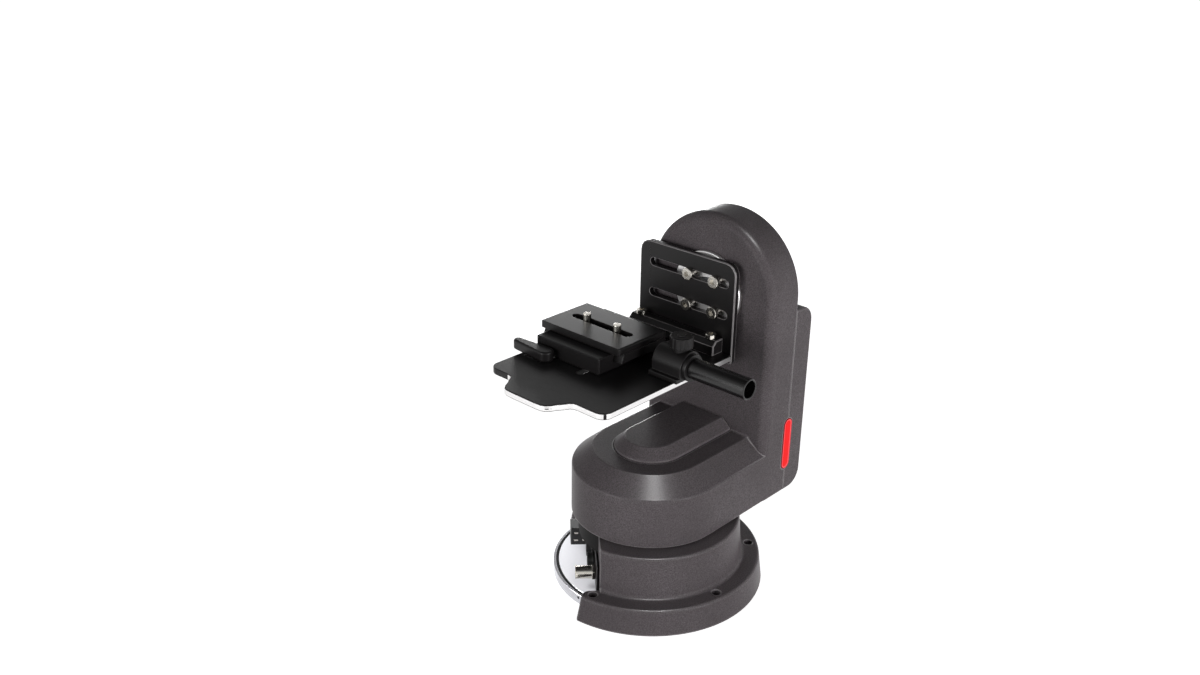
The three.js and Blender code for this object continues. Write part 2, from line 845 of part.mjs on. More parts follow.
// Slip ring: the stator hangs under the shelf, the rotor tube turns with the head
const spindleTop = headBottom + castWall + seatGap + flangeThickness;
const motorPlateBottom = spindleTop + seatGap;
const motorPlateTop = motorPlateBottom + motorPlateThickness;
const stator = shelfBottom - seatGap;
const slipLength = stator - recessTop - slipRoom;
add('slip_ring_stator', lathe([
  [slipTube + runningGap, stator - slipLength],
  [slipRadius, stator - slipLength],
  [slipRadius, stator - slipFlangeHeight],
  [slipFlange, stator - slipFlangeHeight],
  [slipFlange, stator],
  [slipTube + runningGap, stator],
]), blackPlastic);
add('slip_ring_rotor', lathe([
  [slipTubeBore, stator - slipLength + slipFlangeHeight],
  [slipTube, stator - slipLength + slipFlangeHeight],
  [slipTube, motorPlateTop + seatGap],
  [rotorFlange, motorPlateTop + seatGap],
  [rotorFlange, motorPlateTop + slipFlangeHeight],
  [slipTubeBore, motorPlateTop + slipFlangeHeight],
]), blackPlastic);

// Head casting: one hollow body of platform and arm, open at the seam
const seamClear = armSeam - castWall;
const cavityHalfWidth = headHalfWidth - castWall;
const hubHole = bearingRadius + seatGap;
const bearingBoss = bearingRadius + bearingBossWall;

function platformBody() {
  const end = (armInner + armSeam) / 2;
  return loft([
    { outline: noseOutline(headHalfWidth - castEdge / 2, end), z: headBottom },
    { outline: noseOutline(headHalfWidth, end), z: headBottom + castEdge / 2 },
    { outline: noseOutline(headHalfWidth, end), z: wallTop },
    { outline: noseOutline(headHalfWidth - topInset, end), z: platformTop },
  ]);
}

function armBody() {
  const layers = [];
  for (let i = 0; i <= cornerSteps; i++) {
    const angle = (i / cornerSteps) * (Math.PI / 2);
    const shrink = armRound * (1 - Math.sin(angle));
    layers.push({
      outline: archOutline(headHalfWidth - shrink, headBottom, tiltHeight),
      z: armInner + armRound * (1 - Math.cos(angle)),
    });
  }
  layers.push({ outline: archOutline(headHalfWidth, headBottom, tiltHeight), z: armSeam });
  return lay(loft(layers), alongX);
}

function platformCavity() {
  const end = armSeam - castWall;
  const floor = headBottom + castWall;
  const slope = castWall * cavitySlopeShare;
  return loft([
    { outline: noseOutline(cavityHalfWidth, end), z: floor },
    { outline: noseOutline(cavityHalfWidth, end), z: wallTop - slope },
    { outline: noseOutline(cavityHalfWidth - topInset + slope, end), z: platformTop - castWall },
  ]);
}

function armCavity() {
  const inside = armInner + castWall;
  const floor = headBottom + castWall;
  const shell = prism(archOutline(cavityHalfWidth, floor, tiltHeight), inside, seamClear);
  const mouth = prism(
    roundedRectangle(-cavityHalfWidth, floor, cavityHalfWidth, coverTop - castWall, castEdge),
    inside, armSeam + overrun);
  return lay(join(shell, mouth), alongX);
}

function bearingTube() {
  const tube = ring(hubHole, bearingBoss, armInner + castEdge, bearingEnd);
  return move(lay(tube, alongX), 0, 0, tiltHeight);
}

function headCasting() {
  const shell = cut(join(platformBody(), armBody()), platformCavity(), armCavity());
  const shaftBore = lay(disc(hubHole, armInner - overrun, bearingEnd + overrun), alongX);
  const shaftHole = move(shaftBore, 0, 0, tiltHeight);
  const spindleHole = disc(spindleOuter + seatGap, headBottom - overrun, headBottom + castWall + overrun);
  const recess = prism(noseOutline(capHalfWidth + capGap, armInner), platformTop - capRecess,
    platformTop + overrun);
  const opening = prism(noseOutline(capOpening, armInner - castWall), platformTop - castWall - overrun,
    platformTop + overrun);
  return cut(join(cut(shell, shaftHole), bearingTube()), spindleHole, recess, opening, lampHole(seatGap));
}

// Lamp outline in the front view: a pill that straddles the seam
const lampCentre = armSeam + seatGap / 2;
const pillTurn = Math.PI / 2;
function lampOutline(grow) {
  const half = lampHalfWidth + grow;
  return [
    ...arc(lampCentre, lampTop - lampHalfWidth, half, 0, 2 * pillTurn, cornerSteps * 2),
    ...arc(lampCentre, lampBottom + lampHalfWidth, half, 2 * pillTurn, 4 * pillTurn, cornerSteps * 2),
  ];
}
function lampHole(grow) {
  return lay(prism(lampOutline(grow), cavityHalfWidth - overrun, headHalfWidth + overrun), alongFront);
}
add('head_casting', headCasting(), paint);

const lampFront = headHalfWidth + lampProud;
add('tally_lens', lay(bevelled(lampOutline(0), lampFront - lampDepth, lampFront, lampProud), alongFront),
  lamp);
const lampBack = lampFront - lampDepth - seatGap;
add('tally_board', lay(prism(
  roundedRectangle(lampCentre - lampHalfWidth, lampBottom, lampCentre + lampHalfWidth, lampTop, smallEdge),
  lampBack - lampBoardThickness, lampBack), alongFront), board);

// Platform cap: a lid with sloping sides, dropped into a shallow recess
function platformCap() {
  const end = armInner - seatGap;
  const foot = platformTop - capRecess + seatGap;
  const body = loft([
    { outline: noseOutline(capHalfWidth, end), z: foot },
    { outline: noseOutline(capHalfWidth, end), z: platformTop + capLip },
    { outline: noseOutline(capTopHalfWidth + capEdge, end), z: capTop - capEdge },
    { outline: noseOutline(capTopHalfWidth, end), z: capTop },
  ]);
  const hollow = prism(noseOutline(capTopHalfWidth - capWall, end - capWall), foot - overrun,
    capTop - capWall);
  return cut(body, hollow);
}
add('platform_cap', platformCap(), paint);

// Arm cover: a shell with rounded corners, open at the seam
const coverInner = armSeam + seatGap;
const coverOuter = armSeam + coverReach;
const coverInside = coverOuter - coverWall;
const boardBack = coverInside - (coverReach - coverWall) / 2;
const screwPlaces = [];
for (const y of [-1, 1]) {
  for (const z of [coverBottom + coverScrewInset, coverTop - coverScrewInset]) {
    screwPlaces.push([y * (headHalfWidth - coverScrewInset), z]);
  }
}

// Outline of the cover in the front view, with round outer corners
function coverOutline(shrink, start) {
  const corner = coverCorner - shrink;
  const right = coverOuter - shrink - corner;
  const half = Math.PI / 2;
  return [
    point(start, coverTop - shrink),
    point(start, coverBottom + shrink),
    ...arc(right, coverBottom + shrink + corner, corner, -half, 0, cornerSteps),
    ...arc(right, coverTop - shrink - corner, corner, 0, half, cornerSteps),
  ];
}

function armCover() {
  const shell = bevelled(coverOutline(0, coverInner), -headHalfWidth, headHalfWidth, coverEdge);
  const hollow = prism(coverOutline(coverWall, coverInner - overrun * 2),
    coverWall - headHalfWidth, headHalfWidth - coverWall);
  const body = lay(cut(shell, hollow), alongFront);
  const posts = screwPlaces.map(([y, z]) => move(
    lay(disc(coverPost, boardBack + seatGap, coverInside + overrun / 2, 0, 12), alongX), 0, y, z));
  const screwHoles = screwPlaces.map(([y, z]) => move(
    lay(disc(coverScrewRadius + seatGap, coverOuter - coverScrewHead - seatGap, coverOuter + overrun, 0,
      smallSteps), alongX), 0, y, z));
  return cut(join(body, ...posts), ...screwHoles, lampHole(seatGap));
}
add('arm_cover', armCover(), paint);

function hexSocketHead(radius, height, steps = smallSteps) {
  const socketShare = 0.5;
  const floorShare = 0.45;
  const edgeShare = 0.12;
  const socket = prism(circle(radius * socketShare, 6), height * floorShare, height + overrun);
  return cut(disc(radius, 0, height, height * edgeShare, steps), socket);
}
screwPlaces.forEach(([y, z], i) => {
  const screw = lay(hexSocketHead(coverScrewRadius, coverScrewHead), alongX);
  add(`cover_screw_${i + 1}`, screw, steel, head, [coverOuter - coverScrewHead, y, z]);
});

// Control board on the cover's posts, with its main chips
function controlBoard() {
  const bottom = coverBottom + boardEdge - coverPost;
  const top = coverTop - boardEdge + coverPost;
  const sheet = prism(rectangle(-boardHalfWidth - coverPost, bottom, boardHalfWidth + coverPost, top),
    boardBack - boardThickness, boardBack);
  const chipShares = [
    [-0.5, 0.2, 0.3, 0.12],
    [0.35, 0.3, 0.22, 0.1],
    [-0.3, 0.55, 0.2, 0.09],
    [0.4, 0.7, 0.35, 0.07],
  ];
  const chips = chipShares.map(([y, z, wide, tall]) => {
    const centre = bottom + z * (top - bottom);
    const halfTall = (tall * (top - bottom)) / 2;
    const halfWide = (wide * boardHalfWidth) / 2;
    return prism(rectangle(y * boardHalfWidth - halfWide, centre - halfTall, y * boardHalfWidth + halfWide,
      centre + halfTall), boardBack - boardThickness * 2, boardBack - boardThickness / 2);
  });
  return lay(join(sheet, ...chips), alongX);
}
add('control_board', controlBoard(), board);

// Pan spindle, motor plate, pan motor and its pinion
const spindleLip = innerRaceInner - spindleOuter + raceWidth / 2;
const lipBottom = raceBottom - seatGap - clampRingHeight;
add('pan_spindle', lathe([
  [spindleBore, lipBottom],
  [spindleOuter + spindleLip, lipBottom],
  [spindleOuter + spindleLip, raceBottom - seatGap],
  [spindleOuter, raceBottom - seatGap],
  [spindleOuter, headBottom + castWall + seatGap],
  [spindleOuter + spindleFlange, headBottom + castWall + seatGap],
  [spindleOuter + spindleFlange, spindleTop],
  [spindleBore, spindleTop],
]), steel);

const plateEdgeRadius = spindleOuter + spindleFlange - flangeThickness / 2;
add('pan_motor_plate', cut(
  disc(plateEdgeRadius, motorPlateBottom, motorPlateTop),
  disc(slipTube + seatGap, motorPlateBottom - overrun, motorPlateTop + overrun, 0, smallSteps),
  move(disc(motorNose + seatGap, motorPlateBottom - overrun, motorPlateTop + overrun, 0, smallSteps),
    pinionDistance, 0, 0)), anodised);

// Motor with a nose that centres it in its plate, its shaft end along -Z
function motor(radius, length) {
  return lathe([
    [pinionShaft + seatGap, -motorNoseHeight],
    [motorNose, -motorNoseHeight],
    [motorNose, 0],
    [radius - castEdge, 0],
    [radius, castEdge],
    [radius, length * motorNeckShare],
    [radius * motorEndRadiusShare, length * motorEndShare],
    [radius * motorEndRadiusShare, length],
    [0, length],
    [0, length * motorBoreShare],
    [pinionShaft + seatGap, length * motorBoreShare],
  ], motorSteps);
}
add('pan_motor', motor(panMotorRadius, panMotorLength), steel, head,
  [pinionDistance, 0, motorPlateTop + seatGap]);

const pinionBottom = sunBottom + seatGap;
const pinionShaftTop = motorPlateTop + panMotorLength * shaftReachShare;
function panPinion() {
  const halfPitch = Math.PI / pinionTeeth;
  const teeth = prism(gearOutline(pinionTeeth), pinionBottom, sunTop - seatGap).rotateZ(halfPitch);
  return join(teeth, disc(pinionShaft, pinionBottom + seatGap, pinionShaftTop, 0, smallSteps));
}
add('pan_pinion', panPinion(), steel, head, [pinionDistance, 0, 0]);

// Tilt bearings, shaft, pulleys and belt
function sealedBearing() {
  const inner = tiltShaftRadius + runningGap;
  const grooveShare = 0.3;
  const depthShare = 0.1;
  const groove = (bearingRadius - tiltShaftRadius) * grooveShare;
  const depth = bearingWidth * depthShare;
  return lathe([
    [inner, 0],
    [bearingRadius, 0],
    [bearingRadius, bearingWidth],
    [bearingRadius - groove, bearingWidth],
    [bearingRadius - groove, bearingWidth - depth],
    [inner + groove, bearingWidth - depth],
    [inner + groove, bearingWidth],
    [inner, bearingWidth],
  ]);
}
[0, 1].forEach((i) => {
  const start = bearingStart + i * (bearingWidth + seatGap);
  add(`tilt_bearing_${i + 1}`, lay(sealedBearing(), alongX), steel, head, [start, 0, tiltHeight]);
});

const tiltPitch = (beltPitch * tiltPulleyTeeth) / (2 * Math.PI);
const drivePitch = (beltPitch * drivePulleyTeeth) / (2 * Math.PI);

function pulleyOutline(teeth, radius) {
  const widthShares = [0.3, 0.4, 0.9, 1];
  const depths = [0, toothDepth, toothDepth, 0];
  const points = [];
  for (let tooth = 0; tooth < teeth; tooth++) {
    widthShares.forEach((share, k) => {
      const angle = (2 * Math.PI * (tooth + share)) / teeth;
      points.push(point((radius - depths[k]) * Math.cos(angle), (radius - depths[k]) * Math.sin(angle)));
    });
  }
  return points;
}

function pulley(teeth, radius) {
  const teethBody = prism(pulleyOutline(teeth, radius), pulleyFlange / 2, pulleyWidth - pulleyFlange / 2);
  const flanges = [0, pulleyWidth - pulleyFlange].map((start) => disc(radius + pulleyRim, start,
    start + pulleyFlange));
  return join(teethBody, ...flanges);
}

function tiltPulley() {
  const bore = disc(tiltShaftRadius + seatGap, -overrun, pulleyWidth + overrun);
  const web = ring(tiltShaftRadius + bearingBossWall, tiltPitch - pulleyRim * 2, pulleyWidth / 2,
    pulleyWidth + overrun);
  return lay(cut(pulley(tiltPulleyTeeth, tiltPitch), bore, web), alongX);
}
add('tilt_pulley', tiltPulley(), machined, head, [pulleyStart, 0, tiltHeight]);

const shaftLength = pulleyEnd + seatGap - hubInner;
add('tilt_shaft', lay(ring(tiltShaftBore, tiltShaftRadius, 0, shaftLength), alongX), steel, head,
  [hubInner, 0, tiltHeight]);

// Belt: the open loop round both pulleys, drawn in the plane of the arm
function beltOutline(grow) {
  const upper = tiltPitch + grow;
  const lower = drivePitch + grow;
  const spread = Math.asin((upper - lower) / (tiltHeight - tiltMotorHeight));
  return [
    ...arc(0, tiltHeight, upper, -spread, Math.PI + spread, noseSteps),
    ...arc(0, tiltMotorHeight, lower, Math.PI + spread, 2 * Math.PI - spread, cornerSteps * 2),
  ];
}
const beltStart = pulleyStart + pulleyFlange + seatGap;
const beltEnd = pulleyEnd - pulleyFlange - seatGap;
add('tilt_belt', lay(cut(
  prism(beltOutline(beltGap + beltThickness), beltStart, beltEnd),
  prism(beltOutline(beltGap), beltStart - overrun, beltEnd + overrun)), alongX), rubber);

const tiltPlateHalf = cavityHalfWidth - seatGap;
function tiltMotorPlate() {
  const floor = headBottom + castWall + seatGap;
  const top = tiltMotorHeight + tiltMotorRadius + motorPlateThickness;
  const sheet = prism(rectangle(-tiltPlateHalf, floor, tiltPlateHalf, top), tiltPlateInner, tiltPlateOuter);
  const hole = move(disc(motorNose + seatGap, tiltPlateInner - overrun, tiltPlateOuter + overrun, 0,
    smallSteps), 0, tiltMotorHeight, 0);
  return lay(cut(sheet, hole), alongX);
}
add('tilt_motor_plate', tiltMotorPlate(), anodised);
add('tilt_motor', lay(motor(tiltMotorRadius, tiltMotorLength).rotateX(Math.PI), alongX), steel, head,
  [tiltMotorFace, 0, tiltMotorHeight]);

function drivePulley() {
  const shaftBack = pulleyStart - tiltMotorFace + tiltMotorLength * shaftReachShare;
  const shaft = disc(pinionShaft, -shaftBack, pulleyWidth, 0, smallSteps);
  return lay(join(pulley(drivePulleyTeeth, drivePitch), shaft), alongX);
}
add('drive_pulley', drivePulley(), machined, head, [pulleyStart, 0, tiltMotorHeight]);

// Tilt hub and its four clamp screws
const clampPlaces = [];
for (const y of [-clampSpread, clampSpread]) {
  for (const z of [-clampSpread, clampSpread]) clampPlaces.push([y, z]);
}
const clampHole = clampScrewRadius + seatGap;
function tiltHub() {
  const plate = ring(tiltShaftRadius + seatGap, hubRadius, 0, hubThickness, smallEdge, raceSteps);
  const holes = clampPlaces.map(([y, z]) => move(
    disc(clampHole, -overrun, hubThickness + overrun, 0, smallSteps), y, z, 0));
  return lay(cut(plate, ...holes), alongX);
}
add('tilt_hub', tiltHub(), machined, head, [hubInner, 0, tiltHeight]);

const clampHeadFace = sideInner - seatGap;
clampPlaces.forEach(([y, z], i) => {
  const headPiece = hexSocketHead(clampHeadRadius, clampHeadHeight).rotateX(Math.PI);
  const shank = disc(clampScrewRadius, -overrun / 2, hubOuter - clampHeadFace - seatGap, 0, smallSteps);
  add(`hub_screw_${i + 1}`, lay(join(headPiece, shank), alongX), steel, head,
    [clampHeadFace, y, tiltHeight + z]);
});

// Side plate with two long slots
function sidePlate() {
  const outline = roundedRectangle(sideFront, sideBottom, sideRear, sideTop,
    [sideFrontCorner, sideFrontCorner, sideCorner, sideCorner]);
  const slots = [-clampSpread, clampSpread].map((z) => prism(
    slotOutline(slotFront, slotRear, tiltHeight + z, slotHalfHeight), sideInner - overrun,
    sideOuter + overrun));
  return lay(cut(bevelled(outline, sideInner, sideOuter, smallEdge), ...slots), alongX);
}
add('side_plate', sidePlate(), anodised);

// Bottom plate: a smooth bulge on its left edge, and two slots for the sideways shift
function trayOutline() {
  const corner = trayCorner;
  const half = Math.PI / 2;
  const tabShares = [[0, 0], [0.14, 0.06], [0.3, 0.3], [0.5, 0.72], [0.66, 0.95], [1, 1]];
  const flankLength = tabHalfLength - tabTipHalfLength;
  const flank = tabShares.map(([along, out]) => [along * flankLength, out * tabReach]);
  const tabEnd = tabCentre + tabHalfLength;
  const tabStart = tabCentre - tabHalfLength;
  const rearSide = flank.map(([along, out]) => point(trayLeft - out, tabEnd - along));
  const frontSide = flank.map(([along, out]) => point(trayLeft - out, tabStart + along)).reverse();
  return [
    ...arc(trayLeft + corner, trayFront + corner, corner, -2 * half, -half, cornerSteps),
    point(trayRight, trayFront),
    point(trayRight, trayRear),
    ...arc(trayLeft + corner, trayRear - corner, corner, half, 2 * half, cornerSteps),
    ...rearSide,
    ...frontSide,
  ];
}
function bottomPlate() {
  const slots = shiftSlotPlaces.map((y) => prism(
    slotOutline(shiftSlotLeft, shiftSlotRight, y, slotHalfHeight), trayBottom - overrun, trayTop + overrun));
  return cut(bevelled(trayOutline(), trayBottom, trayTop, trayBevel), ...slots);
}
add('bottom_plate', bottomPlate(), anodised);

// Corner block that ties the bottom plate to the side plate
const cornerTop = blockBase + cornerBlockHeight;
const cornerChamfer = cornerBlockHeight / 3;
add('corner_block', lay(bevelled([
  point(trayRight, blockBase),
  point(trayRight, cornerTop),
  point(cornerBlockInner + cornerChamfer, cornerTop),
  point(cornerBlockInner, cornerTop - cornerChamfer),
  point(cornerBlockInner, blockBase),
], -sideRear, -cornerBlockFront, smallEdge), alongFront), anodised);
cornerScrewPlaces.forEach((y, i) => {
  add(`corner_screw_${i + 1}`, hexSocketHead(cornerScrewRadius, cornerScrewHead), machined, head,
    [trayRight - cornerBlockWidth / 2, y, cornerTop + seatGap]);
});

// Rod clamp: a split ring on a foot, with a collar in front and a screw boss on top
const rodBore = rodRadius + runningGap;
function rodClamp() {
  const foot = trayTop + seatGap;
  const half = Math.PI / 2;
  const outline = [
    point(-clampFootHalf, foot),
    point(clampFootHalf, foot),
    point(clampFootHalf, foot + clampFootHeight),
    point(clampOuter, foot + clampFootHeight),
    ...arc(0, rodHeight, clampOuter, 0, 2 * half, 16),
    point(-clampOuter, foot + clampFootHeight),
    point(-clampFootHalf, foot + clampFootHeight),
  ];
  const body = lay(bevelled(outline, -clampRear, -clampFront, smallEdge), alongFront);
  const collarRing = move(lay(disc(clampCollar, -clampFront - overrun / 2, -clampFront + clampCollarReach,
    smallEdge, ringSteps), alongFront), 0, 0, rodHeight);
  const boreEnd = -clampFront + clampCollarReach + overrun;
  const bore = move(lay(disc(rodBore, -clampRear - overrun, boreEnd, 0, ringSteps), alongFront), 0, 0,
    rodHeight);
  const bossFoot = rodHeight + rodRadius + rodWall;
  const boss = move(disc(clampBossRadius, bossFoot, rodHeight + clampOuter + smallEdge, 0, smallSteps),
    0, knobPlace, 0);
  return cut(join(body, collarRing, boss), bore);
}
add('rod_clamp', rodClamp(), anodised);
add('support_rod', lay(ring(rodRadius - rodWall, rodRadius, -rodRear, -rodFront, 0,
  ringSteps), alongFront), anodised, head, [0, 0, rodHeight]);

function flutedKnob() {
  const points = [];
  const steps = knobFlutes * 3;
  for (let i = 0; i < steps; i++) {
    const angle = (2 * Math.PI * i) / steps;
    const radius = knobRadius - knobFluteDepth * (1 + Math.cos(knobFlutes * angle)) / 2;
    points.push(point(radius * Math.cos(angle), radius * Math.sin(angle)));
  }
  const pin = disc(knobStem, knobHeight / 2, knobHeight + smallEdge, 0, smallSteps);
  return join(bevelled(points, 0, knobHeight, smallEdge), pin);
}
const knobBottom = rodHeight + clampOuter + smallEdge + seatGap;
add('rod_knob', flutedKnob(), anodised, head, [0, knobPlace, knobBottom]);

// Quick release base with a dovetail channel, drawn along Y
const channelBottom = releaseBottom + channelFloor;
function dovetail(half, bottom, top) {
  return [
    point(-half, bottom),
    point(half, bottom),
    point(half - dovetailSlope, top),
    point(dovetailSlope - half, top),
  ];
}
function releaseBase() {
  const block = bevelled(
    rectangle(-releaseHalfWidth, releaseBottom, releaseHalfWidth, releaseTop), -releaseRear, -releaseFront,
    smallEdge);
  const channel = prism(dovetail(dovetailHalf + seatGap, channelBottom, releaseTop), -releaseRear - overrun,
    -releaseFront + overrun);
  const mouth = prism(rectangle(dovetailSlope - dovetailHalf - seatGap, releaseTop - smallEdge,
    dovetailHalf + seatGap - dovetailSlope, releaseTop + overrun), -releaseRear - overrun,
    -releaseFront + overrun);
  return lay(cut(block, channel, mouth), alongFront);
}
add('release_base', releaseBase(), anodised, head, [releaseCentre, 0, 0]);

// Camera plate: dovetail foot, wide top and a slot with a well for the camera screws
const plateFoot = channelBottom + seatGap;
const plateShoulder = releaseTop + seatGap;
function cameraPlate() {
  const foot = prism(dovetail(dovetailHalf, plateFoot, plateShoulder + seatGap), -plateRear, -plateFront);
  const top = bevelled(rectangle(-plateHalfWidth, plateShoulder, plateHalfWidth, plateTop), -plateRear,
    -plateFront, plateEdge);
  const body = lay(join(foot, top), alongFront);
  const slot = prism(slotOutline(screwSlotFront, screwSlotRear, 0, screwSlotHalf), plateFoot - overrun,
    plateTop + overrun).rotateZ(Math.PI / 2);
  const well = prism(slotOutline(screwSlotFront - screwWellHalf + screwSlotHalf,
    screwSlotRear + screwWellHalf - screwSlotHalf, 0, screwWellHalf), plateFoot - overrun,
    plateFoot + screwWellDepth).rotateZ(Math.PI / 2);
  return cut(body, slot, well);
}
add('camera_plate', cameraPlate(), anodised, head, [releaseCentre, 0, 0]);

const screwHeadTop = plateFoot + screwWellDepth - seatGap;
const screwHeadBottom = screwHeadTop - cameraScrewHeadHeight;
function cameraScrew() {
  const slotShare = 0.4;
  const headPiece = disc(cameraScrewHead, screwHeadBottom, screwHeadTop, smallEdge, motorSteps);
  const shank = disc(cameraScrewRadius, screwHeadTop - smallEdge, plateTop + cameraScrewReach,
    smallEdge / 2, smallSteps);
  const half = cameraScrewHead + overrun;
  const slot = prism(rectangle(-half, -smallEdge, half, smallEdge), screwHeadBottom - overrun,
    screwHeadBottom + cameraScrewHeadHeight * slotShare);
  return cut(join(headPiece, shank), slot);
}
for (const [name, place] of Object.entries(cameraScrewPlaces)) {
  add(name, cameraScrew(), steel, head, [releaseCentre, place, 0]);
}

// Release lever: pivots on the left side of the release base
const leverPivot = releaseCentre - releaseHalfWidth - leverHubRadius - leverGap;
function releaseLever() {
  const half = Math.PI / 2;
  const outline = [
    ...arc(0, 0, leverHubRadius, 2 * half, 4 * half, 10),
    ...arc(0, leverLength, leverTipRadius, 0, 2 * half, 8),
  ];
  return bevelled(outline, releaseBottom, releaseBottom + leverHeight, plateEdge);
}
add('release_lever', releaseLever(), anodised, head, [leverPivot, leverPlace, 0]);

export default head;
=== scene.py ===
# %% [markdown]
# # A remote pan tilt head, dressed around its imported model
#
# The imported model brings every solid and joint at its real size. This lesson gives the
# parts that show smooth curves, fine edges and real finishes. It works in the frame of the
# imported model: the origin lies under the base on the pan axis, +X points to the arm, -Y is
# the front and +Z is up. Shapes are drawn in millimetres and handed over in metres.

# %% Load the frame
import json
import math

import bmesh
import bpy
from mathutils import Matrix, Vector

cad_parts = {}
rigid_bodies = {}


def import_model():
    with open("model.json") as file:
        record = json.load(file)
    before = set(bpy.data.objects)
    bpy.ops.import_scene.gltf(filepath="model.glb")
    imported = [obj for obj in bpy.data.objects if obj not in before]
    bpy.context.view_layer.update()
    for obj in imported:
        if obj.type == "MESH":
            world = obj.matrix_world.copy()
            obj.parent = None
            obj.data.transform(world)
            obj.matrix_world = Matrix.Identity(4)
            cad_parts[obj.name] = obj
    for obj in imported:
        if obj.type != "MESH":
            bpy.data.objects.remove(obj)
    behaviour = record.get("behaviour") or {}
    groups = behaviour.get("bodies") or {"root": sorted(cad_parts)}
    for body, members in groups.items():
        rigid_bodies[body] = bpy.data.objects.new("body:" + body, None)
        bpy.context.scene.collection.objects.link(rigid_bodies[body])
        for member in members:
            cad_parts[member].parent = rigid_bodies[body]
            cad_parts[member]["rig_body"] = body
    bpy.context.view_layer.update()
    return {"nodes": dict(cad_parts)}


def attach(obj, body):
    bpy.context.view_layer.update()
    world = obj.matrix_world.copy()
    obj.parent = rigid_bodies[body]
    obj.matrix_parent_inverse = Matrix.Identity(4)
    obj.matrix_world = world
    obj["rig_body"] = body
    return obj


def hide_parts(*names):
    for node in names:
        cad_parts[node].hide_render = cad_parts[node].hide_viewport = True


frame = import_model()
mm = 0.001

# %% [markdown]
# The camera comes first, because every later choice is judged through it. Its place and
# lens were found by matching edges of known size, such as the 15 mm rod, with the
# photograph. A look-at constraint would be quicker, but it can't hold the slight roll.

# %% Camera at the photograph's angle
SENSOR_MM = 36.0
IMAGE_WIDTH = 1200
FOCAL_PIXELS = 1206.22
CAMERA_PLACE_MM = (-600.15, -505.55, 530.74)
CLIP_START_MM = 10
HEADING = math.radians(47.09)
DOWNWARD = math.radians(23.408)
ROLL = math.radians(0.8175)


def place_object(name, data):
    made = bpy.data.objects.new(name, data)
    bpy.context.scene.collection.objects.link(made)
    return made


forward = Vector((math.sin(HEADING) * math.cos(DOWNWARD),
                  math.cos(HEADING) * math.cos(DOWNWARD), -math.sin(DOWNWARD)))
level_right = Vector((math.cos(HEADING), -math.sin(HEADING), 0))
level_up = level_right.cross(forward)
right = math.cos(ROLL) * level_right + math.sin(ROLL) * level_up
up = math.cos(ROLL) * level_up - math.sin(ROLL) * level_right
turn = Matrix((right, up, -forward)).transposed().to_4x4()

camera_data = bpy.data.cameras.new("camera")
camera_data.sensor_width = SENSOR_MM
camera_data.lens = FOCAL_PIXELS / IMAGE_WIDTH * SENSOR_MM
camera_data.clip_start = CLIP_START_MM * mm
camera = place_object("camera", camera_data)
camera.matrix_world = Matrix.Translation(Vector(CAMERA_PLACE_MM) * mm) @ turn
bpy.context.scene.camera = camera
print("lens", round(camera_data.lens, 2), "mm")

# %% [markdown]
# A few small helpers carry all the materials. One turns the hex colours of a screen to
# the linear values that a renderer needs. One adds a shader node with its settings,
# values and links, and gives back the output that the next node reads. It puts the word
# ShaderNode before the kind. Two open a material with its even values and close it with
# its varied ones, and one turns the size of a pattern into a scale. A Mix node's sockets
# share names, so they go by number.

# %% Colour and node helpers
FACTOR, NUMBER_A, NUMBER_B, COLOUR_A, COLOUR_B = 0, 2, 3, 6, 7
TWO_TONE = {"output": 2, "data_type": "RGBA"}


def linear(hex_colour):
    shares = [int(hex_colour[i:i + 2], 16) / 255 for i in (1, 3, 5)]
    curve = [s / 12.92 if s <= 0.04045 else ((s + 0.055) / 1.055) ** 2.4 for s in shares]
    return (*curve, 1)


def add_node(tree, kind, values=(), links=(), output=0, **settings):
    new = tree.nodes.new("ShaderNode" + kind)
    for key, value in settings.items():
        setattr(new, key, value)
    for socket, value in dict(values).items():
        new.inputs[socket].default_value = value
    for socket, source in dict(links).items():
        tree.links.new(source, new.inputs[socket])
    return new.outputs[output]


def start_material(name, **uniform):
    material = bpy.data.materials.new(name)
    material.use_nodes = True
    shader = material.node_tree.nodes["Principled BSDF"]
    for socket, value in uniform.items():
        shader.inputs[socket.replace("_", " ")].default_value = value
    place = add_node(material.node_tree, "TexCoord", output="Object")
    return material, material.node_tree, place


def finish_material(material, varied):
    shader = material.node_tree.nodes["Principled BSDF"]
    for socket, source in varied.items():
        material.node_tree.links.new(source, shader.inputs[socket])
    print("finish", material.name)
    return material


def per_metre(size_mm):
    return 1 / (size_mm * mm)


# %% [markdown]
# The castings wear a powder coat: a thin baked polyester skin in graphite grey with a
# satin gloss. Up close it has an orange peel of about a millimetre, a fine grit and a
# metallic speckle. The speckle of the real coat is finer than a pixel here, so it is drawn
# at 0.8 mm. A much larger noise shifts the colour, because a sprayed coat is never even.
# Edges get a painted highlight: their colour is mixed towards a lighter one, and their
# gloss is raised. A bevel node finds them: its rounded normal leaves the true one near an edge.

# %% Powder coat
CLOUD_MM = 60
PEEL_MM = 1.3
GRIT_MM = 0.4
SPECKLE_MM = 0.8
PEEL_DEPTH_MM = 0.05
GRIT_DEPTH_MM = 0.03
COAT_RELIEF = 0.3
SPECKLE_LOW, SPECKLE_HIGH = -0.6, 1.6
SHEEN_BELOW, SHEEN_ABOVE = 0.04, 0.05
EDGE_MM = 1.4
EDGE_SAMPLES = 6
EDGE_BEGINS, EDGE_FULL = 0.998, 0.96


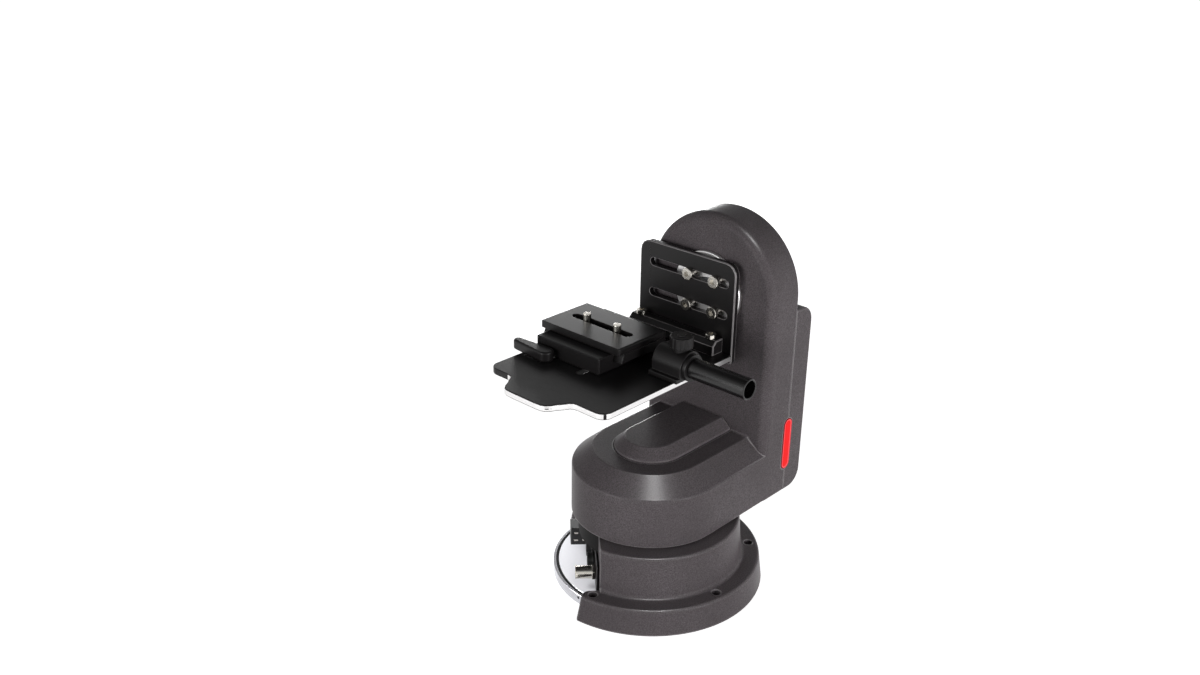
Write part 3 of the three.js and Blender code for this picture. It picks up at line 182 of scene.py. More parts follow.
def powder_coat(name, dark, light, painted_highlight_colour, roughness, specular, edge_specular):
    material, tree, place = start_material(name)
    cloud, speckle, grit, peel = (
        add_node(tree, "TexNoise", {"Scale": per_metre(size), "Detail": detail}, {"Vector": place}, "Fac")
        for size, detail in ((CLOUD_MM, 3), (SPECKLE_MM, 1), (GRIT_MM, 1), (PEEL_MM, 2)))
    strong = add_node(tree, "MapRange", {"To Min": SPECKLE_LOW, "To Max": SPECKLE_HIGH},
                      {"Value": speckle}, "Result")
    share = add_node(tree, "Math", {}, {0: cloud, 1: strong}, operation="MULTIPLY")
    flat = add_node(tree, "Mix", {COLOUR_A: linear(dark), COLOUR_B: linear(light)},
                    {FACTOR: share}, **TWO_TONE)
    rounded = add_node(tree, "Bevel", {"Radius": EDGE_MM * mm}, samples=EDGE_SAMPLES)
    straight = add_node(tree, "NewGeometry", output="Normal")
    alike = add_node(tree, "VectorMath", {}, {0: rounded, 1: straight}, "Value",
                     operation="DOT_PRODUCT")
    edge = add_node(tree, "MapRange", {"From Min": EDGE_BEGINS, "From Max": EDGE_FULL},
                    {"Value": alike}, "Result")
    # painted highlight: the colour is lightened along every edge, whatever the light
    colour = add_node(tree, "Mix", {COLOUR_B: linear(painted_highlight_colour)},
                      {FACTOR: edge, COLOUR_A: flat}, **TWO_TONE)
    gloss = add_node(tree, "MapRange", {"To Min": specular, "To Max": edge_specular},
                     {"Value": edge}, "Result")
    sheen = add_node(tree, "MapRange",
                     {"To Min": roughness - SHEEN_BELOW, "To Max": roughness + SHEEN_ABOVE},
                     {"Value": grit}, "Result")
    wavy = add_node(tree, "Bump", {"Strength": COAT_RELIEF, "Distance": PEEL_DEPTH_MM * mm},
                    {"Height": peel}, "Normal")
    gritty = add_node(tree, "Bump", {"Strength": COAT_RELIEF, "Distance": GRIT_DEPTH_MM * mm},
                      {"Height": grit, "Normal": wavy}, "Normal")
    return finish_material(material, {"Base Color": colour, "Specular IOR Level": gloss,
                                      "Roughness": sheen, "Normal": gritty})


# the third colour of each coat is the painted highlight along its edges
graphite_coat = powder_coat("graphite_powder_coat", "#484345", "#736d70", "#807b7d", 0.34, 0.05, 0.9)
# near-black, darker than the castings: partly painted shade for the back of the bay
near_black_shade_coat = powder_coat("near_black_coat_painted_shade", "#0f0e0e", "#171616", "#1a1919", 0.6, 0.1, 0.1)

# %% [markdown]
# The cradle plates, the rod and the clamps are black anodised aluminium. Anodising keeps
# the fine lines of the cutter under a hard dark film, so it gets a soft gloss, with
# streaks that follow the machining. The bevels of two plates are a lighter grey: partly
# film worn off the edge, partly a painted highlight along every bevel.

# %% Black anodised aluminium
LINE_MM = 0.5
LINE_DEPTH_MM = 0.02
LINE_RELIEF = 0.15
DYE_PATCH_MM = 25
FILM_BELOW, FILM_ABOVE = 0.06, 0.08
ALONG_Y = (1, 0.04, 1)
EVERY_WAY = (1, 1, 1)


def anodised(name, dark, light, roughness, specular, stretch):
    material, tree, place = start_material(name, Specular_IOR_Level=specular)
    drawn = add_node(tree, "Mapping", {"Scale": stretch}, {"Vector": place}, "Vector")
    lines, patch = (
        add_node(tree, "TexNoise", {"Scale": per_metre(size), "Detail": 2}, {"Vector": source}, "Fac")
        for size, source in ((LINE_MM, drawn), (DYE_PATCH_MM, place)))
    colour = add_node(tree, "Mix", {COLOUR_A: linear(dark), COLOUR_B: linear(light)},
                      {FACTOR: patch}, **TWO_TONE)
    sheen = add_node(tree, "MapRange",
                     {"To Min": roughness - FILM_BELOW, "To Max": roughness + FILM_ABOVE},
                     {"Value": lines}, "Result")
    cut = add_node(tree, "Bump", {"Strength": LINE_RELIEF, "Distance": LINE_DEPTH_MM * mm},
                   {"Height": lines}, "Normal")
    return finish_material(material, {"Base Color": colour, "Roughness": sheen, "Normal": cut})


black_anodised = anodised("black_anodised_aluminium", "#121111", "#191718", 0.34, 0.2, ALONG_Y)
rod_anodised = anodised("black_anodised_rod", "#0b0a0a", "#121011", 0.24, 0.4, ALONG_Y)
# lighter grey for bevels: partly worn film, partly painted highlight
edge_wear_and_highlight = anodised("anodised_edge_wear_and_painted_highlight", "#5c595a", "#8a8687", 0.3, 0.5, EVERY_WAY)

# %% [markdown]
# The disc under the base is turned aluminium. A lathe leaves fine rings around the axis,
# and a wave texture in rings mode about Z takes them from the distance to the axis. Its
# rings lie 2 pi / 20 of a unit apart, which the scale allows for. The rim is left bright,
# while the face inside the seal is etched to a pale satin.

# %% Turned aluminium
TURNING_MM = 0.9
TURNING_DEPTH_MM = 0.015
TURNING_RELIEF = 0.12
RING_STEP = 2 * math.pi / 20


def turned_metal(name, dark, light, roughness, metallic):
    material, tree, place = start_material(name, Roughness=roughness, Metallic=metallic)
    rings = add_node(tree, "TexWave",
                     {"Scale": per_metre(TURNING_MM) * RING_STEP, "Distortion": 0.4, "Detail": 1},
                     {"Vector": place}, "Fac", wave_type="RINGS", rings_direction="Z")
    colour = add_node(tree, "Mix", {COLOUR_A: linear(dark), COLOUR_B: linear(light)},
                      {FACTOR: rings}, **TWO_TONE)
    cut = add_node(tree, "Bump",
                   {"Strength": TURNING_RELIEF, "Distance": TURNING_DEPTH_MM * mm},
                   {"Height": rings}, "Normal")
    return finish_material(material, {"Base Color": colour, "Normal": cut})


satin_aluminium = turned_metal("satin_etched_aluminium", "#ececf2", "#f8f8fc", 0.5, 0.3)
turned_aluminium = turned_metal("bright_turned_aluminium", "#9c9ca0", "#bcbcc0", 0.24, 1.0)

# %% [markdown]
# Small parts share one recipe with different values: a main and a second tone in soft
# patches of a real size, and a bump of the same patches. That is enough for milled
# aluminium, moulded plastic, rubber, nickel, steel, brass and a lacquered board. After the
# two tones, a row gives the roughness, the metallic share, and the width and depth of the
# patches in millimetres.

# %% Small part materials
PATCH_RELIEF = 0.3


def patchy(name, main, second, roughness, metallic, patch_mm, relief_mm):
    material, tree, place = start_material(name, Roughness=roughness, Metallic=metallic)
    patch = add_node(tree, "TexNoise", {"Scale": per_metre(patch_mm), "Detail": 3},
                     {"Vector": place}, "Fac")
    colour = add_node(tree, "Mix", {COLOUR_A: linear(main), COLOUR_B: linear(second)},
                      {FACTOR: patch}, **TWO_TONE)
    uneven = add_node(tree, "Bump", {"Strength": PATCH_RELIEF, "Distance": relief_mm * mm},
                      {"Height": patch}, "Normal")
    return finish_material(material, {"Base Color": colour, "Normal": uneven})


milled_aluminium = patchy("milled_aluminium", "#d2d0d0", "#ecebeb", 0.3, 0.9, 0.8, 0.02)
black_plastic = patchy("moulded_black_abs", "#141414", "#1c1c1c", 0.42, 0, 0.6, 0.02)
seal_rubber = patchy("nitrile_rubber", "#0c0c0c", "#131313", 0.7, 0, 0.8, 0.03)
belt_rubber = patchy("neoprene_belt", "#121212", "#1b1b1b", 0.8, 0, 0.5, 0.05)
nickel = patchy("nickel_plated_brass", "#c8c4bc", "#dedad2", 0.2, 1, 2.0, 0.01)
ground_steel = patchy("ground_bearing_steel", "#8f9195", "#a5a7aa", 0.28, 1, 1.0, 0.01)
screw_steel = patchy("blackened_screw_steel", "#2a2a2c", "#3a3a3c", 0.3, 1, 1.5, 0.01)
gear_brass = patchy("hobbed_brass", "#b08d3f", "#c7a55a", 0.32, 1, 1.5, 0.01)
green_board = patchy("lacquered_circuit_board", "#154a2a", "#1d5f38", 0.35, 0, 3.0, 0.03)

# %% [markdown]
# The tally lamp is a frosted red diffuser with light behind it. Emission gives the glow.
# The thick rounded rim of the moulding scatters more light and looks pinker. The edge
# round it and the sides in the slot glow deep red: a painted red glow that stands for the
# lamp's light on the slot around the lens.

# %% Lit red diffuser
MOTTLE_MM = 2.5
FROSTED = 0.4
FAINT_SPECULAR = 0.05


def lit_plastic(name, body, first, second, strength):
    material, tree, place = start_material(name, Roughness=FROSTED, Base_Color=linear(body),
                                           Specular_IOR_Level=FAINT_SPECULAR,
                                           Emission_Strength=strength)
    mottle = add_node(tree, "TexNoise", {"Scale": per_metre(MOTTLE_MM), "Detail": 2},
                      {"Vector": place}, "Fac")
    glow = add_node(tree, "Mix", {COLOUR_A: linear(first), COLOUR_B: linear(second)},
                    {FACTOR: mottle}, **TWO_TONE)
    return finish_material(material, {"Emission Color": glow})


lit_core = lit_plastic("lit_red_core", "#5a0608", "#fa1416", "#ff2022", 0.86)
lit_rim = lit_plastic("lit_red_rim", "#802428", "#ff4a4e", "#ff6468", 0.85)
# painted glow: the deep red ring stands for the lamp's light on the slot round the lens
red_glow_halo = lit_plastic("deep_red_painted_glow_ring", "#4a0c10", "#7c1a20", "#8e2228", 0.5)

# %% [markdown]
# Every new shape starts as a line, drawn by a pen: a single vertex is extruded to each
# next point, or spun around a centre for an arc. A curve object could draw the same line,
# but the pen keeps the whole piece in one bmesh and needs only the numbers of a sketch.
# A larger arc gets more steps, up to the 192 of the base's big circles. The section of a
# turned part is mostly a stair, which is given as the radius and end height of each step.

# %% A pen for outlines
ROUND_STEPS = 192
FEWEST_STEPS, SMALL_CIRCLE_STEPS, STEPS_PER_MM = 4, 24, 3


def corners_of(geom):
    return [part for part in geom if isinstance(part, bmesh.types.BMVert)]


def pen(start, *moves, closed=True):
    bm = bmesh.new()
    first = tip = bmesh.ops.create_vert(bm, co=(*start, 0))["vert"][0]
    for move in moves:
        if len(move) == 2:
            tip = bmesh.ops.extrude_vert_indiv(bm, verts=[tip])["verts"][0]
            tip.co = (*move, 0)
        else:
            x, y, degrees = move
            reach = (tip.co.xy - Vector((x, y))).length
            full_circle = min(ROUND_STEPS, SMALL_CIRCLE_STEPS + STEPS_PER_MM * reach)
            steps = max(FEWEST_STEPS, round(abs(degrees) / 360 * full_circle))
            swept = bmesh.ops.spin(bm, geom=[tip], cent=(x, y, 0), axis=(0, 0, 1),
                                   angle=math.radians(degrees), steps=steps)
            tip = corners_of(swept["geom_last"])[0]
    if closed:
        bmesh.ops.contextual_create(bm, geom=[tip, first])
    return bm


def box(low, high):
    return pen(low, (high[0], low[1]), high, (low[0], high[1]))


def nose(half, end):
    return pen((end, half), (0, half), (0, 0, 180), (end, -half))


def stepped(height, *steps):
    points = []
    for radius, next_height in steps:
        points += [(radius, height), (radius, next_height)]
        height = next_height
    return points


# %% [markdown]
# An outline becomes a solid in one of two ways. Raised straight up it is a prism, for
# plates and cutters. Spun about Z it is a turned part, for everything round. Either is
# laid over for parts that are drawn in the side, front or rear view. A prism's end can be
# tapered: it is inset and moved out in one step, which gives a chamfer or a draft.

# %% From outline to solid
LAID = {"side": Matrix(((0, 0, 1), (1, 0, 0), (0, 1, 0))),
        "front": Matrix(((1, 0, 0), (0, 0, -1), (0, 1, 0))),
        "rear": Matrix(((-1, 0, 0), (0, 0, 1), (0, 1, 0)))}
ON_LEVEL = 0.01
SPUN_MERGE = 0.0005


def prism(outline, bottom, top):
    bmesh.ops.contextual_create(outline, geom=outline.edges[:])
    bmesh.ops.translate(outline, verts=outline.verts[:], vec=(0, 0, bottom))
    raised = bmesh.ops.extrude_face_region(outline, geom=outline.faces[:])["geom"]
    bmesh.ops.translate(outline, verts=corners_of(raised), vec=(0, 0, top - bottom))
    bmesh.ops.recalc_face_normals(outline, faces=outline.faces[:])
    return outline


def turned(outline, steps=64):
    upright = Matrix.Rotation(math.radians(90), 3, "X")
    bmesh.ops.rotate(outline, matrix=upright, verts=outline.verts[:])
    bmesh.ops.spin(outline, geom=outline.verts[:] + outline.edges[:], cent=(0, 0, 0), axis=(0, 0, 1),
                   angle=2 * math.pi, steps=steps, use_merge=True)
    bmesh.ops.remove_doubles(outline, verts=outline.verts[:], dist=SPUN_MERGE)
    bmesh.ops.recalc_face_normals(outline, faces=outline.faces[:])
    return outline


def tapered(bm, level, run, rise):
    end = [face for face in bm.faces if abs(face.calc_center_median().z - level) < ON_LEVEL]
    bmesh.ops.inset_region(bm, faces=end, thickness=run, depth=rise, use_even_offset=True)
    bmesh.ops.recalc_face_normals(bm, faces=bm.faces[:])
    return bm


def pin(radius, bottom, top, steps=40):
    bm = bmesh.new()
    bmesh.ops.create_circle(bm, segments=steps, radius=radius)
    return prism(bm, bottom, top)


def lay(bm, way):
    bmesh.ops.transform(bm, matrix=LAID[way].to_4x4(), verts=bm.verts[:])
    bmesh.ops.recalc_face_normals(bm, faces=bm.faces[:])
    return bm


def shift(bm, x, y, z):
    bmesh.ops.translate(bm, verts=bm.verts[:], vec=(x, y, z))
    return bm


def swing(bm, degrees, axis="Z"):
    bmesh.ops.rotate(bm, matrix=Matrix.Rotation(math.radians(degrees), 3, axis), verts=bm.verts[:])
    return bm


# %% [markdown]
# Holes, pockets and joins are left to the exact Boolean modifier. It stands on short-lived
# objects, which go when their meshes are removed, and only the evaluated mesh comes back.
# Cutting by hand with knife and bridge operators would take a page for each hole.
# Edges are rounded by bevels: a sharp edge never catches the light, and no cast or milled
# part has one. A finished piece rides on the body of the solid that it replaces.

# %% Cutting, joining and rounding
SHARP = math.radians(28)
SHADED_SHARP = SHARP * 1.5
CUT_MERGE = 0.02


def mesh_of(name, bm):
    mesh = bpy.data.meshes.new(name)
    bm.to_mesh(mesh)
    bm.free()
    return mesh


def work(operation, body, tools):
    standing = [place_object("workpiece", mesh_of("workpiece", bm)) for bm in (body, *tools)]
    for tool in standing[1:]:
        step = standing[0].modifiers.new("step", "BOOLEAN")
        step.solver = "EXACT"
        step.operation = operation
        step.object = tool
    done = standing[0].evaluated_get(bpy.context.evaluated_depsgraph_get())
    result = bmesh.new()
    result.from_mesh(done.to_mesh())
    for workpiece in standing:
        bpy.data.meshes.remove(workpiece.data)
    bmesh.ops.remove_doubles(result, verts=result.verts[:], dist=CUT_MERGE)
    return result


def carve(body, *tools):
    return work("DIFFERENCE", body, tools)


def unite(body, *tools):
    return work("UNION", body, tools)


def round_edges(bm, radius, segments=2, where=lambda a, b: True, angle=SHARP):
    chosen = [e for e in bm.edges if len(e.link_faces) == 2 and e.calc_face_angle(0) > angle
              and where(*(v.co for v in e.verts))]
    made = bmesh.ops.bevel(bm, geom=chosen, offset=radius, offset_type="OFFSET", segments=segments,
                           affect="EDGES", profile=0.5, material=-1, clamp_overlap=False)
    return made["faces"]


def hand_over(name, bm, materials, slot, *replaced):
    bmesh.ops.scale(bm, vec=(mm, mm, mm), verts=bm.verts[:])
    mesh = mesh_of(name, bm)
    for material in materials if isinstance(materials, list) else [materials]:
        mesh.materials.append(material)
    piece = place_object(name, mesh)
    for face in mesh.polygons:
        face.use_smooth = True
    mesh.set_sharp_from_angle(angle=SHADED_SHARP)
    weighted = piece.modifiers.new("face_weighted_normals", "WEIGHTED_NORMAL")
    weighted.keep_sharp = True
    body = frame["nodes"][replaced[0]]["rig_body"]
    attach(piece, body)
    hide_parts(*replaced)
    print(name.ljust(26), str(len(mesh.polygons)).rjust(6), "faces on", body)
    return piece


# %% [markdown]
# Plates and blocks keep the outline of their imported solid. Its copy is merged to one
# surface, flat areas are dissolved to single faces, and every sharp edge gets a small
# bevel. Normals weighted by face area keep the large faces flat.

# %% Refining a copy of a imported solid
FLAT = math.radians(0.4)
COPY_MERGE = 0.002


def copied(node_name):
    bm = bmesh.new()
    bm.from_mesh(frame["nodes"][node_name].data)
    bmesh.ops.scale(bm, vec=(1 / mm, 1 / mm, 1 / mm), verts=bm.verts[:])
    bmesh.ops.remove_doubles(bm, verts=bm.verts[:], dist=COPY_MERGE)
    bmesh.ops.dissolve_limit(bm, angle_limit=FLAT, verts=bm.verts[:], edges=bm.edges[:])
    return bm


def refine(node_name, edge_mm, material, slot, segments=2, edge_material=None):
    bm = copied(node_name)
    for face in round_edges(bm, edge_mm, segments):
        face.material_index = 1
    return hand_over(node_name + "_finished", bm, [material, edge_material or material], slot, node_name)


# %% [markdown]
# The base casting is one turned shape: a drafted flange, a drum with a rolled rim and a
# bore for the pan bearing, with a boss for the fixed gear on its shelf. It is drawn facing
# the rear and turned in place at the end, as the real base is bolted down at its own angle.
# Its circular edges are rounded first, while they are still whole.

# %% Base casting, turned
BASE_TURN = 46.4
FLANGE_FOOT, FLANGE_LIP, FLANGE_TOP = 87.5, 84.8, 20
DRUM_FOOT, DRUM_LIP, DRUM_TOP = 71.3, 68.4, 52
RECESS, RECESS_TOP = 71.93, 8.3
BEARING_BORE, SHELF_TOP = 53.2, 35.5
GEAR_BOSS_STEPS = ((14.4, 37.9), (12, 45.2), (8.05, RECESS_TOP))
NEAR = 0.05

casting = turned(pen((RECESS, 0), (FLANGE_FOOT, 0), (FLANGE_LIP, FLANGE_TOP), (DRUM_FOOT, FLANGE_TOP),
                     (DRUM_LIP, DRUM_TOP), *stepped(DRUM_TOP, (BEARING_BORE, SHELF_TOP), *GEAR_BOSS_STEPS),
                     (RECESS, RECESS_TOP)), ROUND_STEPS)
ROUNDINGS = (  # radius and height of the edge, size of its rounding, steps
    (FLANGE_LIP, FLANGE_TOP, 1.7, 5), (DRUM_FOOT, FLANGE_TOP, 2.6, 5), (DRUM_LIP, DRUM_TOP, 1.7, 5),
    (BEARING_BORE, DRUM_TOP, 0.7, 2), (FLANGE_FOOT, 0, 0.5, 2))
for radius, height, size, segments in ROUNDINGS:
    round_edges(casting, size, segments,
                lambda a, b: all(abs(v.xy.length - radius) < NEAR and abs(v.z - height) < NEAR
                                 for v in (a, b)))
print("base casting, faces after turning", len(casting.faces))

# %% [markdown]
# The connector bay is milled away from the casting at the rear: the drum is cut flat and
# opened into its hollow, and the flange gets a notch with round horns. The notch's tool is
# tapered downwards, which drafts the horns as in the photograph. Five bolt holes follow,
# and the cuts get a small edge of their own.

# %% Base casting, milled
BAY_FLAT = 39.5
BEYOND = 95
HOLLOW_START, HOLLOW_SWEEP = (-50.97, 36), 250.4
HOLLOW_BOTTOM, HOLLOW_TOP = 6.3, 31.5
CUT_TOP = 54
NOTCH_HALF, NOTCH_FRONT = 58.9, BAY_FLAT - 4
NOTCH_TOP, NOTCH_FOOT = 22, 21.5
DRAFT_RUN, DRAFT_REACH = 4, 23.5
HORN_X, HORN_Y, HORN_SWEEP = 64.99, 46.65, -144.33
HORN_END_X, HORN_END_Y = 72.71, 52.19
HORN_START_X, HORN_START_Y = 69.94, 50.2
BOLT_CIRCLE, BOLT_HOLE = 77.6, 3.35
BOLT_ANGLES = (0, 55.6, -55.6, 125.2, -125.2)
OVERRUN = 2
MILLED_EDGE = 0.45

hollow = prism(pen(HOLLOW_START, (0, 0, HOLLOW_SWEEP)), HOLLOW_BOTTOM, HOLLOW_TOP)
rear_cut = prism(box((-BEYOND, BAY_FLAT), (BEYOND, BEYOND)), FLANGE_TOP, CUT_TOP)
notch = prism(pen((NOTCH_HALF, NOTCH_FRONT), (NOTCH_HALF, HORN_Y), (HORN_X, HORN_Y, HORN_SWEEP),
                  (HORN_END_X, HORN_END_Y), (HORN_END_X, BEYOND), (-HORN_END_X, BEYOND),
                  (-HORN_END_X, HORN_END_Y), (-HORN_START_X, HORN_START_Y),
                  (-HORN_X, HORN_Y, HORN_SWEEP), (-NOTCH_HALF, NOTCH_FRONT)), NOTCH_FOOT, NOTCH_TOP)
front_half = prism(box((-BEYOND, 0), (BEYOND, BAY_FLAT)), -9, 40)
notch = carve(tapered(notch, NOTCH_FOOT, DRAFT_RUN, DRAFT_REACH), front_half)
bolts = [swing(shift(pin(BOLT_HOLE, -OVERRUN, FLANGE_TOP + OVERRUN), 0, -BOLT_CIRCLE, 0), at)
         for at in BOLT_ANGLES]
casting = carve(casting, hollow, rear_cut, notch, *bolts)
rounded = round_edges(casting, MILLED_EDGE)
print("base casting, faces in the rounded cut edges", len(rounded))
hand_over("base_casting_coat", swing(casting, BASE_TURN), graphite_coat, "painted_casting",
          "base_casting")

# %% [markdown]
# Under the casting lies the base plate, a bright turned disc whose rim carries a black
# seal in a groove. A small screw hole sits in the rim of the disc. The face inside the
# groove gets the satin finish, and the rim keeps the bright one.

# %% Base plate and seal
DISC, DISC_TOP = 71.6, 8
GROOVE_OUTER, GROOVE_INNER, GROOVE_FLOOR = 69.45, 67.55, 6
SEAL_INNER, SEAL_OUTER, SEAL_FOOT, SEAL_CROWN = 67.85, 69.15, 6.3, 7.4
RIM_HOLE, RIM_HOLE_DEPTH, RIM_HOLE_HEIGHT, RIM_HOLE_ANGLE = 1.1, 3, 5.4, 176.9

disc_steps = stepped(0, (DISC, DISC_TOP), (GROOVE_OUTER, GROOVE_FLOOR), (GROOVE_INNER, DISC_TOP))
disc = turned(pen((0, 0), *disc_steps, (0, DISC_TOP), closed=False), ROUND_STEPS)
round_edges(disc, 0.6, 3, lambda a, b: min(a.xy.length, b.xy.length) > DISC - 2 * NEAR)
round_edges(disc, 0.15, 1)
rim_hole = swing(pin(RIM_HOLE, -RIM_HOLE_DEPTH, RIM_HOLE_DEPTH, 24), 90, "Y")
disc = carve(disc, swing(shift(rim_hole, DISC, 0, RIM_HOLE_HEIGHT), RIM_HOLE_ANGLE))
for face in disc.faces:
    middle = face.calc_center_median()
    inside_groove = middle.z > DISC_TOP - 0.2 and middle.xy.length < GROOVE_INNER - 0.25
    face.material_index = 0 if inside_groove else 1
hand_over("base_disc", disc, [satin_aluminium, turned_aluminium], "machined_aluminium", "base_plate")

seal_middle = (SEAL_INNER + SEAL_OUTER) / 2
seal = turned(pen((SEAL_INNER, SEAL_FOOT), (SEAL_OUTER, SEAL_FOOT), (SEAL_OUTER, SEAL_CROWN),
                  (seal_middle, SEAL_CROWN, 180), (SEAL_INNER, SEAL_FOOT + NEAR)), ROUND_STEPS)
hand_over("base_seal_ring", seal, seal_rubber, "seal_rubber", "base_seal")

# %% [markdown]
# The dark ring at the back of the bay is the housing of the pan bearing, with its clamp
# ring below. It is drawn slim, because the photograph shows the bay open up to the
# platform. Both are plain turned parts. Their near-black coat is partly painted shade,
# which darkens the back of the bay.

# %% Pan bearing housing
GAP = 0.3
RING_TOP = 37
RING_EDGE = 0.2
RINGS = (  # piece, low and high corner of its section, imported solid
    ("pan_bearing_housing_ring", (51.8, RING_TOP + GAP), (52.7, 53.7), "pan_bearing_housing"),
    ("pan_clamp_ring_coat", (50.5, SHELF_TOP + GAP), (52.5, RING_TOP), "pan_clamp_ring"))

for name, low, high, node_name in RINGS:
    ring = turned(box(low, high), ROUND_STEPS)
    round_edges(ring, RING_EDGE)
    # the rings' near-black coat is partly painted shade
    hand_over(name, ring, near_black_shade_coat, "dark_paint", node_name)

# %% [markdown]
# The pan bearing inside the housing turns with the head, so its races are drawn smooth
# too: coarse facets would scrape over the balls. Each race is a section with a groove arc
# round the balls' centre, spun about the axis. The balls are spheres, united with the
# cage that spaces them.

# %% Pan bearing
BALL_CIRCLE, BALL, BALL_COUNT = 45.85, 2.2, 12
RACE_RIM, RACE_LIP = 51.5, 47.3
HUB_LIP, HUB_BORE = 44.4, 40.2
RACE_BOTTOM, RACE_MIDDLE, RACE_TOP = 38.1, 42.5, 46.9
GROOVE_SWEEP, GROOVE_REACH = 107.4, 1.975
CAGE_LOW, CAGE_HIGH = (45.2, 40.8), (46.5, 44.2)
RACE_STEPS, CAGE_STEPS = 160, 96

low, high = RACE_MIDDLE - GROOVE_REACH, RACE_MIDDLE + GROOVE_REACH
groove = (BALL_CIRCLE, RACE_MIDDLE, -GROOVE_SWEEP)
outer_race = turned(pen((RACE_LIP, RACE_BOTTOM), (RACE_RIM, RACE_BOTTOM), (RACE_RIM, RACE_TOP),
                        (RACE_LIP, RACE_TOP), (RACE_LIP, high), groove), RACE_STEPS)
inner_race = turned(pen((HUB_BORE, RACE_BOTTOM), (HUB_LIP, RACE_BOTTOM), (HUB_LIP, low), groove,
                        (HUB_LIP, RACE_TOP), (HUB_BORE, RACE_TOP)), RACE_STEPS)
cage = turned(box(CAGE_LOW, CAGE_HIGH), CAGE_STEPS)
balls = []
for i in range(BALL_COUNT):
    ball = bmesh.new()
    bmesh.ops.create_uvsphere(ball, u_segments=24, v_segments=14, radius=BALL)
    balls.append(swing(shift(ball, BALL_CIRCLE, 0, RACE_MIDDLE), 360 / BALL_COUNT * i))
hand_over("pan_outer_race_ground", outer_race, ground_steel, "bearing_steel", "pan_outer_race")
hand_over("pan_inner_race_ground", inner_race, ground_steel, "bearing_steel", "pan_inner_race")
hand_over("pan_ball_ring_caged", unite(cage, *balls), ground_steel, "bearing_steel", "pan_ball_ring")

# %% [markdown]
# The bay holds a panel with its sockets, on the flat of the drum. The panel and the
# plug-in terminal block with its four screws are refined copies. The two round sockets are
# turned from their half section and laid on the panel. A key is cut into the rim of each,
# and the contacts are small turned studs in a ring, which need no joining to the shell.

# %% Connector panel and round sockets
PANEL_FRONT = 41.9
SOCKET_HEIGHT = 20.5
SOCKET_FLOOR = 1.75
SOCKET_STEPS = ((6.9, 1.5), (5.93, 5), (4.69, SOCKET_FLOOR))
KEY_LOW, KEY_HIGH, KEY_LEVELS = (-0.9, 4.2), (0.9, 7), (2.6, 6)
CONTACT_SECTION = ((0, 1), (0.5, 1), (0.5, 3.9), (0.2, 4.3), (0, 4.3))

refine("connector_panel", 0.3, black_anodised, "black_anodised")
refine("terminal_block", 0.35, black_plastic, "black_plastic")
for i in range(1, 5):
    refine(f"terminal_screw_{i}", 0.2, nickel, "nickel_plate", 1)


def on_panel(bm, x):
    return swing(shift(lay(bm, "rear"), x, PANEL_FRONT, SOCKET_HEIGHT), BASE_TURN)


def round_socket(name, x, pin_count, ring_radius):
    shell = turned(pen((0, 0), *stepped(0, *SOCKET_STEPS), (0, SOCKET_FLOOR), closed=False))
    round_edges(shell, 0.25)
    shell = carve(shell, prism(box(KEY_LOW, KEY_HIGH), *KEY_LEVELS))
    moulded = len(shell.faces)
    for i in range(pin_count):
        contact = turned(pen(*CONTACT_SECTION, closed=False), 16)
        swing(shift(contact, ring_radius, 0, 0), 360 * (i + 0.5) / pin_count)
        contact_mesh = mesh_of("contact", contact)
        shell.from_mesh(contact_mesh)
        bpy.data.meshes.remove(contact_mesh)
    shell.faces.ensure_lookup_table()
    for face in shell.faces[moulded:]:
        face.material_index = 1
    hand_over(name + "_finished", on_panel(shell, x), [black_plastic, nickel], "black_plastic", name)


round_socket("power_connector", -4.6, 4, 2.6)
round_socket("data_connector", -20.6, 7, 3.1)

# %% [markdown]
# The coaxial jack is a nickel-plated barrel with two bayonet studs and a hexagon nut at
# its foot. The studs go right through the barrel, so the bore is cut after they are
# united, and the centre contact is set into it last.

# %% Coaxial jack
JACK_X, JACK_FOOT, JACK_LENGTH = -36, 0.5, 14.5
JACK_BORE, JACK_FLOOR = 3.74, 2.47
CORE, CORE_TOP = 0.77, 12
JACK_STEPS = ((4.8, JACK_LENGTH), (JACK_BORE, JACK_FLOOR), (CORE, CORE_TOP))
CORE_SECTION = ((0, 1), (CORE, 1), (CORE, 11.6), (0.4, CORE_TOP), (0, CORE_TOP))
NUT, NUT_TOP = 6.2, 2.4
STUD, STUD_REACH, STUD_HEIGHT = 0.96, 5.76, 12

barrel = turned(pen((0, JACK_FOOT), *stepped(JACK_FOOT, *JACK_STEPS), (0, CORE_TOP), closed=False), 48)
round_edges(barrel, 0.25)
nut = pin(NUT, 0, NUT_TOP, 6)
round_edges(nut, 0.3)
studs = shift(swing(pin(STUD, -STUD_REACH, STUD_REACH, 20), 90, "Y"), 0, 0, STUD_HEIGHT)
jack_bore = pin(JACK_BORE, JACK_FLOOR, JACK_LENGTH + 1.5)
core = turned(pen(*CORE_SECTION, closed=False), 20)
jack = unite(carve(unite(barrel, nut, studs), jack_bore), core)
hand_over("coaxial_jack_bright", on_panel(jack, JACK_X), nickel, "nickel_plate", "coaxial_jack")

# %% [markdown]
# The head casting is one piece in two forms. The platform has a round nose, and its top
# is inset and lifted to make the wide chamfer in one step. The arm is an upright with a
# round top and a soft inner edge. They are united, and a small fillet is laid into the
# corner between them.

# %% Head casting, outside
HALF = 58.0
HEAD_BOTTOM = 54.0
WALL_TOP = 92.4
TOP = 105.4
PLATFORM_END, CHAMFER_RUN = 80, 15
ARM_INNER = 61.0
SEAM = 91.0
AXIS = 212.0
ARM_EDGE = 7
CORNER_FILLET = 1.4
BLUNT = math.radians(20)
CLOSE = 0.1


